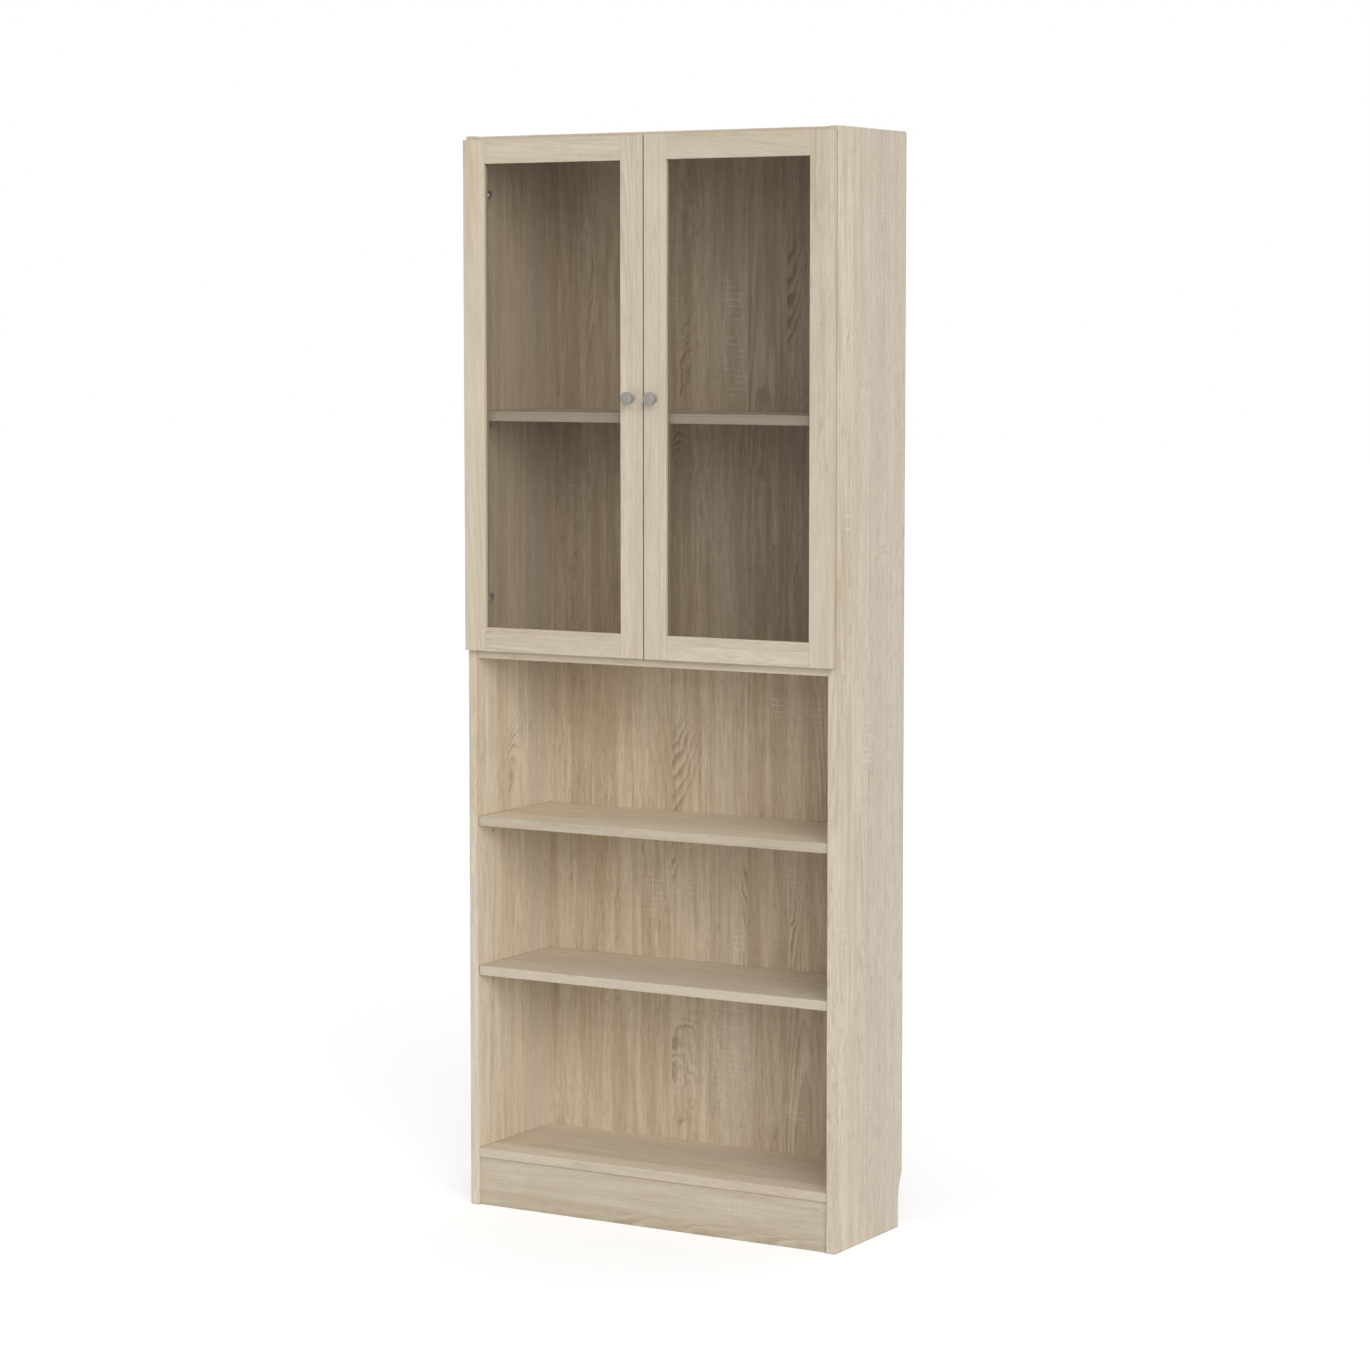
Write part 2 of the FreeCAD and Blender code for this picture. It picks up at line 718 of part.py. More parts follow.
# Doors and hinges
door_pieces = {
    "hinge_stile": [hinge_stile()],
    "meeting_stile": [meeting_stile()],
    "top_rail": [door_rail((opening_z[1], door_top))],
    "bottom_rail": [door_rail((door_bottom, opening_z[0]))],
    "glass_pane": [glass_pane()],
    "glass_beads": glass_beads(),
    "frame_dowels": frame_dowels(frame_dowel_radius, 0),
    "knob": [knob()],
    "knob_screw": [knob_screw()],
    "door_bumper": [door_bumper()],
    "hinge_cups": [hinge_cup(z) for z in hinge_heights],
    "cup_screws": flat(cup_screws(z, 0) for z in hinge_heights),
    "cup_pins": [cup_pin(z, 0) for z in hinge_heights],
    "outer_links": [outer_link(z) for z in hinge_heights],
    "inner_links": [inner_link(z) for z in hinge_heights],
    "hinge_arms": [hinge_arm(z) for z in hinge_heights],
    "arm_pivots": flat(arm_pivots(z) for z in hinge_heights),
    "arm_screws": [arm_screw(z, 0) for z in hinge_heights],
    "hinge_plates": [hinge_plate(z) for z in hinge_heights],
    "plate_screws": flat(plate_screws(z) for z in hinge_heights),
}
for piece, shapes in door_pieces.items():
    save("right_" + piece, *shapes)
    save("left_" + piece, *[mirrored(shape) for shape in shapes])
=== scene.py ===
import math

import bmesh
import bpy
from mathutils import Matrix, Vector


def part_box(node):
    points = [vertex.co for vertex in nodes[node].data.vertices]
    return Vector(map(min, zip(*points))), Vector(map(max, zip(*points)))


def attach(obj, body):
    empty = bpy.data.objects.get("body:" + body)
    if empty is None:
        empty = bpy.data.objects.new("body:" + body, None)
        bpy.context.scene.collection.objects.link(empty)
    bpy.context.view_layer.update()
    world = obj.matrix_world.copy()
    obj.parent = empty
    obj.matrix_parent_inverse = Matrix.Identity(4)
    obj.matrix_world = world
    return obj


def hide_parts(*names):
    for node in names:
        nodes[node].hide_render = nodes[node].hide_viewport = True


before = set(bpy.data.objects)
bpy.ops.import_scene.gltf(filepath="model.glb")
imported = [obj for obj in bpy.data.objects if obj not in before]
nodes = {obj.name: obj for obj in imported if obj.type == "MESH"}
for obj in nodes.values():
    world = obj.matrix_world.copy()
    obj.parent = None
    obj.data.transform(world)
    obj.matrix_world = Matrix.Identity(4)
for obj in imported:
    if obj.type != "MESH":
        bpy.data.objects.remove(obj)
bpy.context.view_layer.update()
scene = bpy.context.scene
scene.view_settings.view_transform = "Standard"
print("frame loaded:", len(nodes), "pieces")


# small helpers for node trees

def feed(tree, socket, value):
    if isinstance(value, bpy.types.NodeSocket):
        tree.links.new(value, socket)
    else:
        socket.default_value = value


def feedAll(tree, node, values):
    for key, value in values.items():
        feed(tree, node.inputs[key], value)


def put(tree, kind, values=None, **settings):
    node = tree.nodes.new(kind)
    for key, value in settings.items():
        setattr(node, key, value)
    feedAll(tree, node, values or {})
    return node


def made(tree, kind, values=None, **settings):
    return put(tree, kind, values, **settings).outputs[0]


def maths(tree, operation, *values):
    return made(tree, "ShaderNodeMath", dict(enumerate(values)), operation=operation)


def times(tree, first, second):
    return maths(tree, "MULTIPLY", first, second)


def timesPlus(tree, value, factor, added):
    return maths(tree, "MULTIPLY_ADD", value, factor, added)


def inverse(tree, mask):
    return maths(tree, "SUBTRACT", 1.0, mask)


def vector(tree, x=0.0, y=0.0, z=0.0):
    return made(tree, "ShaderNodeCombineXYZ", {0: x, 1: y, 2: z})


def axes(tree, point):
    return put(tree, "ShaderNodeSeparateXYZ", {0: point}).outputs


def apart(tree, first, second):
    return maths(tree, "ABSOLUTE", maths(tree, "SUBTRACT", first, second))


def centred(tree, noise):
    return maths(tree, "SUBTRACT", noise, 0.5)


def objectPlace(tree):
    return put(tree, "ShaderNodeTexCoord").outputs["Object"]


def stepped(tree, value, low, high):
    # soft step: 0 below low, 1 above high
    kind = {"Value": value, "From Min": low, "From Max": high}
    return made(tree, "ShaderNodeMapRange", kind, interpolation_type="SMOOTHSTEP")


def ranged(tree, value, low, high):
    return made(tree, "ShaderNodeMapRange", {"Value": value, "To Min": low, "To Max": high})


def mixed(tree, factor, first, second, blend="MIX"):
    mix = put(tree, "ShaderNodeMix", data_type="RGBA", blend_type=blend)
    feed(tree, mix.inputs["Factor"], factor)
    feed(tree, mix.inputs[6], first)
    feed(tree, mix.inputs[7], second)
    return mix.outputs[2]


def shaded(tree, colour, value):
    even = made(tree, "ShaderNodeCombineColor", {0: value, 1: value, 2: value})
    return mixed(tree, 1.0, colour, even, "MULTIPLY")


def humped(tree, value, low, top, high):
    # rises from low to top and is gone again at high
    return times(tree, stepped(tree, value, low, top), inverse(tree, stepped(tree, value, top, high)))


def cloud(tree, point, stretch, shift=(0, 0, 0), detail=2.0, roughness=0.5):
    # noise on a point that is stretched first, so that one axis runs long
    drawn = made(tree, "ShaderNodeVectorMath", {0: point, 1: stretch, 2: shift}, operation="MULTIPLY_ADD")
    kind = {"Vector": drawn, "Scale": 1.0, "Detail": detail, "Roughness": roughness}
    return made(tree, "ShaderNodeTexNoise", kind)


def shaderGroup(name, inputs, outputs):
    tree = bpy.data.node_groups.new(name, "ShaderNodeTree")
    kinds = {"f": "NodeSocketFloat", "c": "NodeSocketColor", "v": "NodeSocketVector"}
    for label, kind, value in inputs:
        socket = tree.interface.new_socket(label, in_out="INPUT", socket_type=kinds[kind])
        socket.default_value = value
    for label, kind in outputs:
        tree.interface.new_socket(label, in_out="OUTPUT", socket_type=kinds[kind])
    return tree, tree.nodes.new("NodeGroupInput").outputs, tree.nodes.new("NodeGroupOutput")


def newMaterial(name):
    material = bpy.data.materials.new(name)
    material.use_nodes = True
    tree = material.node_tree
    tree.nodes.clear()
    shader = tree.nodes.new("ShaderNodeBsdfPrincipled")
    out = tree.nodes.new("ShaderNodeOutputMaterial")
    tree.links.new(shader.outputs[0], out.inputs["Surface"])
    return material, tree, shader


def placeGroup(tree, group, values):
    return put(tree, "ShaderNodeGroup", values, node_tree=group).outputs


def bumped(tree, shader, height, strength, distance):
    bump = made(tree, "ShaderNodeBump", {"Height": height, "Strength": strength, "Distance": distance})
    tree.links.new(bump, shader.inputs["Normal"])


def dress(material, *names):
    for name in names:
        piece = nodes[name]
        if not piece.material_slots:
            piece.data.materials.append(material)
        for slot in piece.material_slots:
            slot.material = material


def bothSides(*names):
    return [side + name for side in ("left_", "right_") for name in names]


# camera at the photograph's angle

cameraView = {
    "place": (3.6064, -6.0804, 1.6845),
    "turn": 30.5795,      # degrees to the left of straight in
    "lookDown": 4.802,
    "lens": 99.422,
    "sensor": 36.0,
    "shift": -0.03,
}


def makeCamera(look):
    data = bpy.data.cameras.new("camera")
    data.lens = look["lens"]
    data.sensor_width = look["sensor"]
    data.shift_y = look["shift"]
    camera = bpy.data.objects.new("camera", data)
    camera.location = look["place"]
    camera.rotation_euler = (math.radians(90 - look["lookDown"]), 0, math.radians(look["turn"]))
    scene.collection.objects.link(camera)
    scene.camera = camera


makeCamera(cameraView)
print("camera placed")


# white studio: floor, sky and one wide key lamp

studio = {
    "floorReach": 40.0,
    "floorShade": 0.79,
    "floorGlow": 0.39,           # what the camera sees on top of the lit floor
    "skyTop": 1.25,
    "skyLow": 0.0,
    "skyFade": (-0.1, 1.0),      # heights between which the sky goes from low to top
    "skyCrown": 0.45,            # share of it that is left straight overhead
    "crownFade": (0.62, 0.95),
    "keyStrength": 1.84,
    "keyFrom": (0.633, -0.703, 0.326),
    "keySpread": 45.0,           # degrees, a wide lamp throws soft shadows
}


def seenDirectly(tree):
    # 1 for what the camera, a mirror or a pane looks at
    path = tree.nodes.new("ShaderNodeLightPath").outputs
    return maths(tree, "MAXIMUM", maths(tree, "MAXIMUM", path["Is Camera Ray"], path["Is Glossy Ray"]),
                 path["Is Transmission Ray"])


def makeStudio(look):
    world = bpy.data.worlds.new("studio")
    scene.world = world
    world.use_nodes = True
    tree = world.node_tree
    tree.nodes.clear()
    direction = put(tree, "ShaderNodeTexCoord").outputs["Generated"]
    height = axes(tree, direction)[2]
    rise = ranged(tree, stepped(tree, height, *look["skyFade"]), look["skyLow"], look["skyTop"])
    overhead = ranged(tree, stepped(tree, height, *look["crownFade"]), 1.0, look["skyCrown"])
    strength = times(tree, rise, overhead)
    sky = made(tree, "ShaderNodeBackground", {"Color": (1, 1, 1, 1), "Strength": strength})
    white = made(tree, "ShaderNodeBackground", {"Color": (1, 1, 1, 1), "Strength": 1.0})
    both = made(tree, "ShaderNodeMixShader", {0: seenDirectly(tree), 1: sky, 2: white})
    put(tree, "ShaderNodeOutputWorld", {"Surface": both})

    mesh = bpy.data.meshes.new("floor")
    r = look["floorReach"]
    mesh.from_pydata([(-r, -r, 0), (r, -r, 0), (r, r, 0), (-r, r, 0)], [], [(0, 1, 2, 3)])
    floor = bpy.data.objects.new("floor", mesh)
    scene.collection.objects.link(floor)
    material, tree, shader = newMaterial("paleFloor")
    shade = look["floorShade"]
    feedAll(tree, shader, {
        "Base Color": (shade, shade, shade, 1), "Roughness": 1.0, "Specular IOR Level": 0.0,
        "Emission Color": (1, 1, 1, 1),
        "Emission Strength": times(tree, seenDirectly(tree), look["floorGlow"])})
    mesh.materials.append(material)

    lamp = bpy.data.lights.new("keyLamp", "SUN")
    lamp.energy = look["keyStrength"]
    lamp.angle = math.radians(look["keySpread"])
    key = bpy.data.objects.new("keyLamp", lamp)
    key.rotation_euler = Vector(look["keyFrom"]).to_track_quat("Z", "Y").to_euler()
    scene.collection.objects.link(key)


makeStudio(studio)
print("studio lit")


# shared effects as shader groups

# the print of every board: repeats to a metre across and along the grain, and how strong each layer shows
oakPrint = {
    "sheetStep": 7.31,         # how far one board's print lies from the next
    "stripStep": 13.0,
    "stripUneven": 0.25,
    "stripJump": (1.9, 3.3),   # metres across and along between the wood of two strips, at most
    "stripTones": (0.93, 1.06),
    "sway": (6.0, 1.2),
    "swayReach": 0.018,        # metres that the streaks stray sideways
    "broad": (24.0, 0.9),
    "streak": (80.0, 4.6),
    "fibre": (300.0, 34.0),
    "pores": (820.0, 34.0),
    "fleck": (170.0, 36.0),
    "mottle": (34.0, 12.0),
    "lively": (16.0, 2.4),
    "hair": (75.0, 0.9),
    "hairPatch": (10.0, 2.2),
    "wander": (14.0, 2.4),
    "figurePatch": (8.0, 1.1),
    "sawWave": (4.0, 1.2),
    "sawHaze": (60.0, 24.0),
    "sawPatch": (15.0, 3.4),
    "sawLength": (38.0, 3.7),
    "archTurns": 11.0,         # growth lines that each cause adds
    "plainTurns": (5.0, 1.0),
    "driftTurns": (5.0, 10.0),
    "wanderTurns": 3.4,
    "sawPitch": 84.0,          # marks to a metre
    "sawShift": 9.0,
    "sawSway": 1.1,
    "sawSlant": 9.0,
    "sawColour": (0.80, 0.75, 0.66, 1),
    "sawShow": 0.28,
    "hazeShow": 0.4,
    "lineShow": 0.6,
    "hairShow": 0.22,
    "seamShow": 0.34,
    "fibreShade": 0.5,
    "poreShade": 0.15,
    "mottleTones": (0.92, 1.08),
    "streakRough": (0.46, 0.60),
    "poreRough": 0.14,
    "poreHeight": -0.6,
    "lineHeight": -0.4,
    "sawHeight": 0.35,
}


def makeOakGroup(look):
    # printed sawn oak on a flat sheet: straight strips, streaks, growth lines, pores and pale saw marks
    tree, given, out = shaderGroup("sawnOak", [
        ("Across", "f", 0.0), ("Along", "f", 0.0), ("Print", "f", 0.0), ("Strip Width", "f", 0.07),
        ("Strip Shift", "f", 0.0), ("Figure", "f", 0.5), ("Contrast", "f", 1.0), ("Saw Marks", "f", 0.3),
        ("Ladder", "f", 0.0),
        ("Pale", "c", (0.7, 0.62, 0.5, 1)), ("Tan", "c", (0.56, 0.45, 0.32, 1)),
        ("Grey", "c", (0.58, 0.5, 0.41, 1)), ("Line", "c", (0.3, 0.2, 0.12, 1)),
    ], [("Color", "c"), ("Roughness", "f"), ("Height", "f")])
    across, along, sheet = given["Across"], given["Along"], given["Print"]
    depth = times(tree, sheet, look["sheetStep"])

    def layer(over, name, pick=(0, 0, 0), detail=2.0, roughness=0.5):
        # pick goes to another part of the same noise
        return cloud(tree, over, (*look[name], 1.0), pick, detail, roughness)

    # strips butt straight against each other, each with its own tone and wood
    strand = maths(tree, "DIVIDE", maths(tree, "ADD", across, given["Strip Shift"]), given["Strip Width"])
    strand = timesPlus(tree, sheet, look["stripStep"], strand)
    cell = {"W": strand, "Scale": 1.0, "Randomness": look["stripUneven"]}
    strips = put(tree, "ShaderNodeTexVoronoi", cell, voronoi_dimensions="1D").outputs
    rim = made(tree, "ShaderNodeTexVoronoi", cell, voronoi_dimensions="1D", feature="DISTANCE_TO_EDGE")
    lightness, coolness, kind = put(tree, "ShaderNodeSeparateColor", {0: strips["Color"]}).outputs
    offset = maths(tree, "SUBTRACT", strand, strips["W"])
    seam = times(tree, inverse(tree, stepped(tree, rim, 0.004, 0.016)), stepped(tree, coolness, 0.3, 0.7))
    u = timesPlus(tree, lightness, look["stripJump"][0], across)
    v = timesPlus(tree, kind, look["stripJump"][1], along)
    flat = vector(tree, u, v, depth)
    u = timesPlus(tree, centred(tree, layer(flat, "sway")), look["swayReach"], u)
    point = vector(tree, u, v, depth)

    # long streaks, short fibres, hair lines and pores, calm in some places
    broad = layer(point, "broad", (9, 0, 1))
    streak = layer(point, "streak", (1, 2, 3), 4.0, 0.62)
    fibre = layer(point, "fibre", (2, 3, 4), 3.0, 0.65)
    pores = stepped(tree, layer(point, "pores", (5, 1, 7), 1.0), 0.6, 0.72)
    fleck = stepped(tree, layer(point, "fleck", (3, 5, 2)), 0.54, 0.74)
    mottle = layer(point, "mottle", (8, 3, 6), 3.0, 0.6)
    lively = stepped(tree, layer(point, "lively", (2, 9, 1)), 0.36, 0.64)
    lively = times(tree, ranged(tree, lively, 0.4, 1.0), given["Contrast"])
    hair = stepped(tree, apart(tree, layer(point, "hair", (6, 2, 8)), 0.5), 0.003, 0.02)
    hairPatch = stepped(tree, layer(point, "hairPatch", (0, 7, 3)), 0.45, 0.6)
    hair = times(tree, inverse(tree, hair), hairPatch)

    # growth lines in some places: nested arches in some strips, straight lines in the rest
    curved = stepped(tree, kind, 0.45, 0.65)
    arch = times(tree, times(tree, offset, offset), times(tree, curved, look["archTurns"]))
    plain = times(tree, offset, ranged(tree, curved, *look["plainTurns"]))
    drift = times(tree, along, ranged(tree, lightness, *look["driftTurns"]))
    wander = times(tree, layer(point, "wander", (3.1, 0.7, 0), 3.0), look["wanderTurns"])
    rings = maths(tree, "ADD", maths(tree, "ADD", arch, plain), maths(tree, "ADD", drift, wander))
    late = humped(tree, maths(tree, "FRACT", rings), 0.3, 0.88, 1.0)
    figured = stepped(tree, layer(point, "figurePatch", (0, 4.4, 2)), 0.5, 0.68)
    figured = timesPlus(tree, figured, ranged(tree, curved, 0.3, 0.85), 0.05)
    lines = times(tree, times(tree, late, figured), given["Figure"])

    # pale saw marks across the grain, a little aslant, in ladders that come and go
    row = timesPlus(tree, along, look["sawPitch"], times(tree, coolness, look["sawShift"]))
    row = timesPlus(tree, layer(flat, "sawWave", (1, 1, 3)), look["sawSway"], row)
    slant = times(tree, maths(tree, "SUBTRACT", lightness, 0.45), look["sawSlant"])
    row = timesPlus(tree, across, slant, row)
    mark = inverse(tree, stepped(tree, apart(tree, maths(tree, "FRACT", row), 0.5), 0.03, 0.19))
    rowPoint = vector(tree, across, maths(tree, "FLOOR", row), depth)
    length = stepped(tree, layer(rowPoint, "sawLength"), 0.4, 0.62)
    haze = stepped(tree, layer(flat, "sawHaze", (2, 6, 1), 3.0, 0.6), 0.4, 0.7)
    patch = stepped(tree, layer(flat, "sawPatch", (4, 8, 5)), 0.62, 0.72)
    patch = maths(tree, "MAXIMUM", times(tree, patch, given["Saw Marks"]), given["Ladder"])
    saw = timesPlus(tree, haze, look["hazeShow"], times(tree, mark, length))
    saw = times(tree, saw, patch)

    # colour, gloss and relief
    warm = timesPlus(tree, streak, 0.55, times(tree, broad, 0.45))
    warm = centred(tree, stepped(tree, warm, 0.33, 0.67))
    colour = mixed(tree, timesPlus(tree, warm, given["Contrast"], 0.5), given["Pale"], given["Tan"])
    colour = mixed(tree, times(tree, stepped(tree, coolness, 0.5, 0.85), 0.6), colour, given["Grey"])
    fine = timesPlus(tree, fleck, 0.26, maths(tree, "SUBTRACT", fibre, 0.53))
    fine = timesPlus(tree, times(tree, fine, lively), -look["fibreShade"], 1.0)
    tone = times(tree, ranged(tree, lightness, *look["stripTones"]), fine)
    tone = times(tree, tone, ranged(tree, mottle, *look["mottleTones"]))
    tone = times(tree, tone, timesPlus(tree, times(tree, pores, lively), -look["poreShade"], 1.0))
    colour = shaded(tree, colour, tone)
    colour = mixed(tree, times(tree, lines, look["lineShow"]), colour, given["Line"])
    dark = maths(tree, "MAXIMUM", times(tree, hair, look["hairShow"]), times(tree, seam, look["seamShow"]))
    colour = mixed(tree, dark, colour, given["Line"])
    colour = mixed(tree, times(tree, saw, look["sawShow"]), colour, look["sawColour"])
    rough = timesPlus(tree, pores, look["poreRough"], ranged(tree, streak, *look["streakRough"]))
    height = timesPlus(tree, pores, look["poreHeight"], times(tree, lines, look["lineHeight"]))
    height = timesPlus(tree, saw, look["sawHeight"], height)
    feedAll(tree, out, {"Color": colour, "Roughness": rough, "Height": height})
    return tree


def makeWindowGroup():
    # soft window on the sheet, for saw marks in a chosen place
    tree, given, out = shaderGroup("printWindow", [
        ("Across", "f", 0.0), ("Along", "f", 0.0), ("Middle Across", "f", 0.0), ("Middle Along", "f", 0.0),
        ("Half Width", "f", 0.02), ("Half Length", "f", 0.05),
    ], [("Mask", "f")])
    mask = 1.0
    for axis, half in (("Across", "Half Width"), ("Along", "Half Length")):
        away = maths(tree, "DIVIDE", apart(tree, given[axis], given["Middle " + axis]), given[half])
        mask = times(tree, inverse(tree, stepped(tree, away, 0.75, 1.0)), mask)
    feedAll(tree, out, {"Mask": mask})
    return tree


def makeFlameGroup():
    # one placed figure: arches that spring from a strip's edge, or rings round a knot
    tree, given, out = shaderGroup("oakFlame", [
        ("Across", "f", 0.0), ("Along", "f", 0.0), ("Edge", "f", 0.0), ("Middle", "f", 0.0),
        ("Width", "f", 0.08), ("Half Length", "f", 0.12), ("Turns", "f", 5.0), ("Arch", "f", 4.0),
        ("Knot", "f", 0.0), ("Stir", "f", 1.0), ("Warp", "f", 0.0),
    ], [("Dark", "f"), ("Pale", "f")])
    point = vector(tree, given["Across"], given["Along"], given["Middle"])
    bend = centred(tree, cloud(tree, point, (26.0, 21.0, 5.0), (1, 2, 3), 1.0))
    lift = centred(tree, cloud(tree, point, (34.0, 26.0, 5.0), (8, 5, 1), 1.0))
    stir = centred(tree, cloud(tree, point, (30.0, 13.0, 5.0), detail=2.5))
    fromEdge = maths(tree, "SUBTRACT", given["Across"], given["Edge"])
    side = maths(tree, "DIVIDE", fromEdge, given["Width"])
    warped = maths(tree, "DIVIDE", timesPlus(tree, bend, given["Warp"], fromEdge), given["Width"])
    rise = timesPlus(tree, lift, given["Warp"], maths(tree, "SUBTRACT", given["Along"], given["Middle"]))
    rise = maths(tree, "DIVIDE", rise, given["Half Length"])

    # arches, and rings that a knot adds to them
    fromKnot = timesPlus(tree, warped, 2.0, -0.35)
    far = maths(tree, "SQRT", maths(tree, "ADD", times(tree, fromKnot, fromKnot), times(tree, rise, rise)))
    root = maths(tree, "POWER", maths(tree, "MAXIMUM", warped, 0.0), 1.5)
    root = timesPlus(tree, rise, given["Turns"], times(tree, times(tree, root, given["Arch"]), -1.0))
    field = timesPlus(tree, stir, given["Stir"], root)
    turn = maths(tree, "FRACT", timesPlus(tree, far, given["Knot"], field))

    # broad dark teeth at the edge thin out to lines further in
    teeth = {"Value": side, "From Max": 0.5, "To Min": 0.05, "To Max": 0.5}
    late = humped(tree, turn, made(tree, "ShaderNodeMapRange", teeth), 0.8, 1.0)
    early = humped(tree, turn, 0.0, 0.1, 0.3)
    inside = times(tree, stepped(tree, side, 0.0, 0.02), inverse(tree, stepped(tree, side, 0.15, 1.0)))
    reach = maths(tree, "ABSOLUTE", maths(tree, "DIVIDE", root, given["Turns"]))
    inside = times(tree, inside, inverse(tree, stepped(tree, reach, 0.6, 1.05)))
    patchy = stepped(tree, cloud(tree, point, (22.0, 16.0, 9.0), (7, 1, 2)), 0.34, 0.6)
    inside = times(tree, inside, ranged(tree, patchy, 0.35, 1.0))
    feedAll(tree, out, {"Dark": times(tree, late, inside), "Pale": times(tree, early, inside)})
    return tree


def makeEdgeGroup():
    # mask along outer corners, from a softened normal against the true one
    tree, given, out = shaderGroup("edgeWear", [
        ("Reach", "f", 0.002), ("Patchiness", "f", 0.6)], [("Mask", "f")])
    soft = made(tree, "ShaderNodeBevel", {"Radius": given["Reach"]}, samples=6)
    true = put(tree, "ShaderNodeNewGeometry").outputs["Normal"]
    same = put(tree, "ShaderNodeVectorMath", {0: soft, 1: true}, operation="DOT_PRODUCT").outputs["Value"]
    mask = stepped(tree, inverse(tree, same), 0.01, 0.16)
    patch = cloud(tree, objectPlace(tree), (40.0, 40.0, 25.0), detail=4.0, roughness=0.65)
    bare = inverse(tree, stepped(tree, patch, 0.35, 0.65))
    keep = inverse(tree, times(tree, bare, given["Patchiness"]))
    feedAll(tree, out, {"Mask": times(tree, mask, keep)})
    return tree


def makePaintedShadeGroup():
    # painted shade in narrow joints, gaps and corners, from the occlusion close around each point
    tree, given, out = shaderGroup("paintedJointShade", [("Reach", "f", 0.006)], [("Mask", "f")])
    clear = put(tree, "ShaderNodeAmbientOcclusion", {"Distance": given["Reach"]}, samples=6).outputs["AO"]
    feedAll(tree, out, {"Mask": inverse(tree, stepped(tree, clear, 0.25, 0.85))})
    return tree


def makeDustGroup():
    # thin dust on what faces up
    tree, given, out = shaderGroup("shelfDust", [("Amount", "f", 0.1)], [("Mask", "f")])
    normal = put(tree, "ShaderNodeNewGeometry").outputs["Normal"]
    up = axes(tree, normal)[2]
    place = objectPlace(tree)
    patch = cloud(tree, place, (9.0, 9.0, 9.0), detail=5.0, roughness=0.62)
    speck = stepped(tree, cloud(tree, place, (420.0, 420.0, 420.0), detail=1.0), 0.58, 0.74)
    cover = timesPlus(tree, speck, 0.5, patch)
    lying = times(tree, stepped(tree, up, 0.6, 0.98), cover)
    feedAll(tree, out, {"Mask": times(tree, lying, given["Amount"])})
    return tree


def makeMetalGroup():
    # plated or satin metal: cloudy tone and fine scratches along one axis
    tree, given, out = shaderGroup("satinMetal", [
        ("Tone", "c", (0.6, 0.59, 0.57, 1)), ("Roughness", "f", 0.3),
        ("Stretch", "v", (300.0, 300.0, 3000.0)),
    ], [("Color", "c"), ("Roughness", "f"), ("Height", "f")])
    place = objectPlace(tree)
    drawn = made(tree, "ShaderNodeVectorMath", {0: place, 1: given["Stretch"]}, operation="MULTIPLY")
    scratch = cloud(tree, drawn, (1.0, 1.0, 1.0), detail=3.0, roughness=0.6)
    haze = cloud(tree, place, (130.0, 130.0, 130.0), detail=4.0, roughness=0.6)
    both = times(tree, ranged(tree, haze, 0.86, 1.12), ranged(tree, scratch, 0.94, 1.06))
    colour = shaded(tree, given["Tone"], both)
    rough = timesPlus(tree, centred(tree, haze), 0.22, given["Roughness"])
    rough = timesPlus(tree, scratch, 0.08, rough)
    feedAll(tree, out, {"Color": colour, "Roughness": rough, "Height": scratch})
    return tree


oakGroup = makeOakGroup(oakPrint)
windowGroup = makeWindowGroup()
flameGroup = makeFlameGroup()
edgeGroup = makeEdgeGroup()
paintedShadeGroup = makePaintedShadeGroup()
dustGroup = makeDustGroup()
metalGroup = makeMetalGroup()
print("shader groups built")


# oak boards, each cut from its own place in the print

oakLook = {
    "pale": (0.735, 0.655, 0.525, 1),
    "tan": (0.600, 0.495, 0.355, 1),
    "grey": (0.600, 0.520, 0.430, 1),
    "line": (0.300, 0.205, 0.120, 1),
    "worn": (0.760, 0.700, 0.590, 1),
    "edgeReach": 0.0016,
    "wornShow": 0.22,
    "paintedShade": (0.16, 0.11, 0.07, 1),    # painted shade in narrow joints and gaps
    "paintedShadeReach": 0.006,
    "paintedShadeShow": 0.45,
    "dust": (0.74, 0.71, 0.66, 1),
    "dustAmount": 0.10,
    "dustRough": 0.8,
    "bandWidth": 0.0010,    # front edge band, with a fine joint behind it
    "bandShow": 0.35,
    "gloss": 0.35,
    "relief": 0.35,
    "reliefDepth": 0.0004,
}

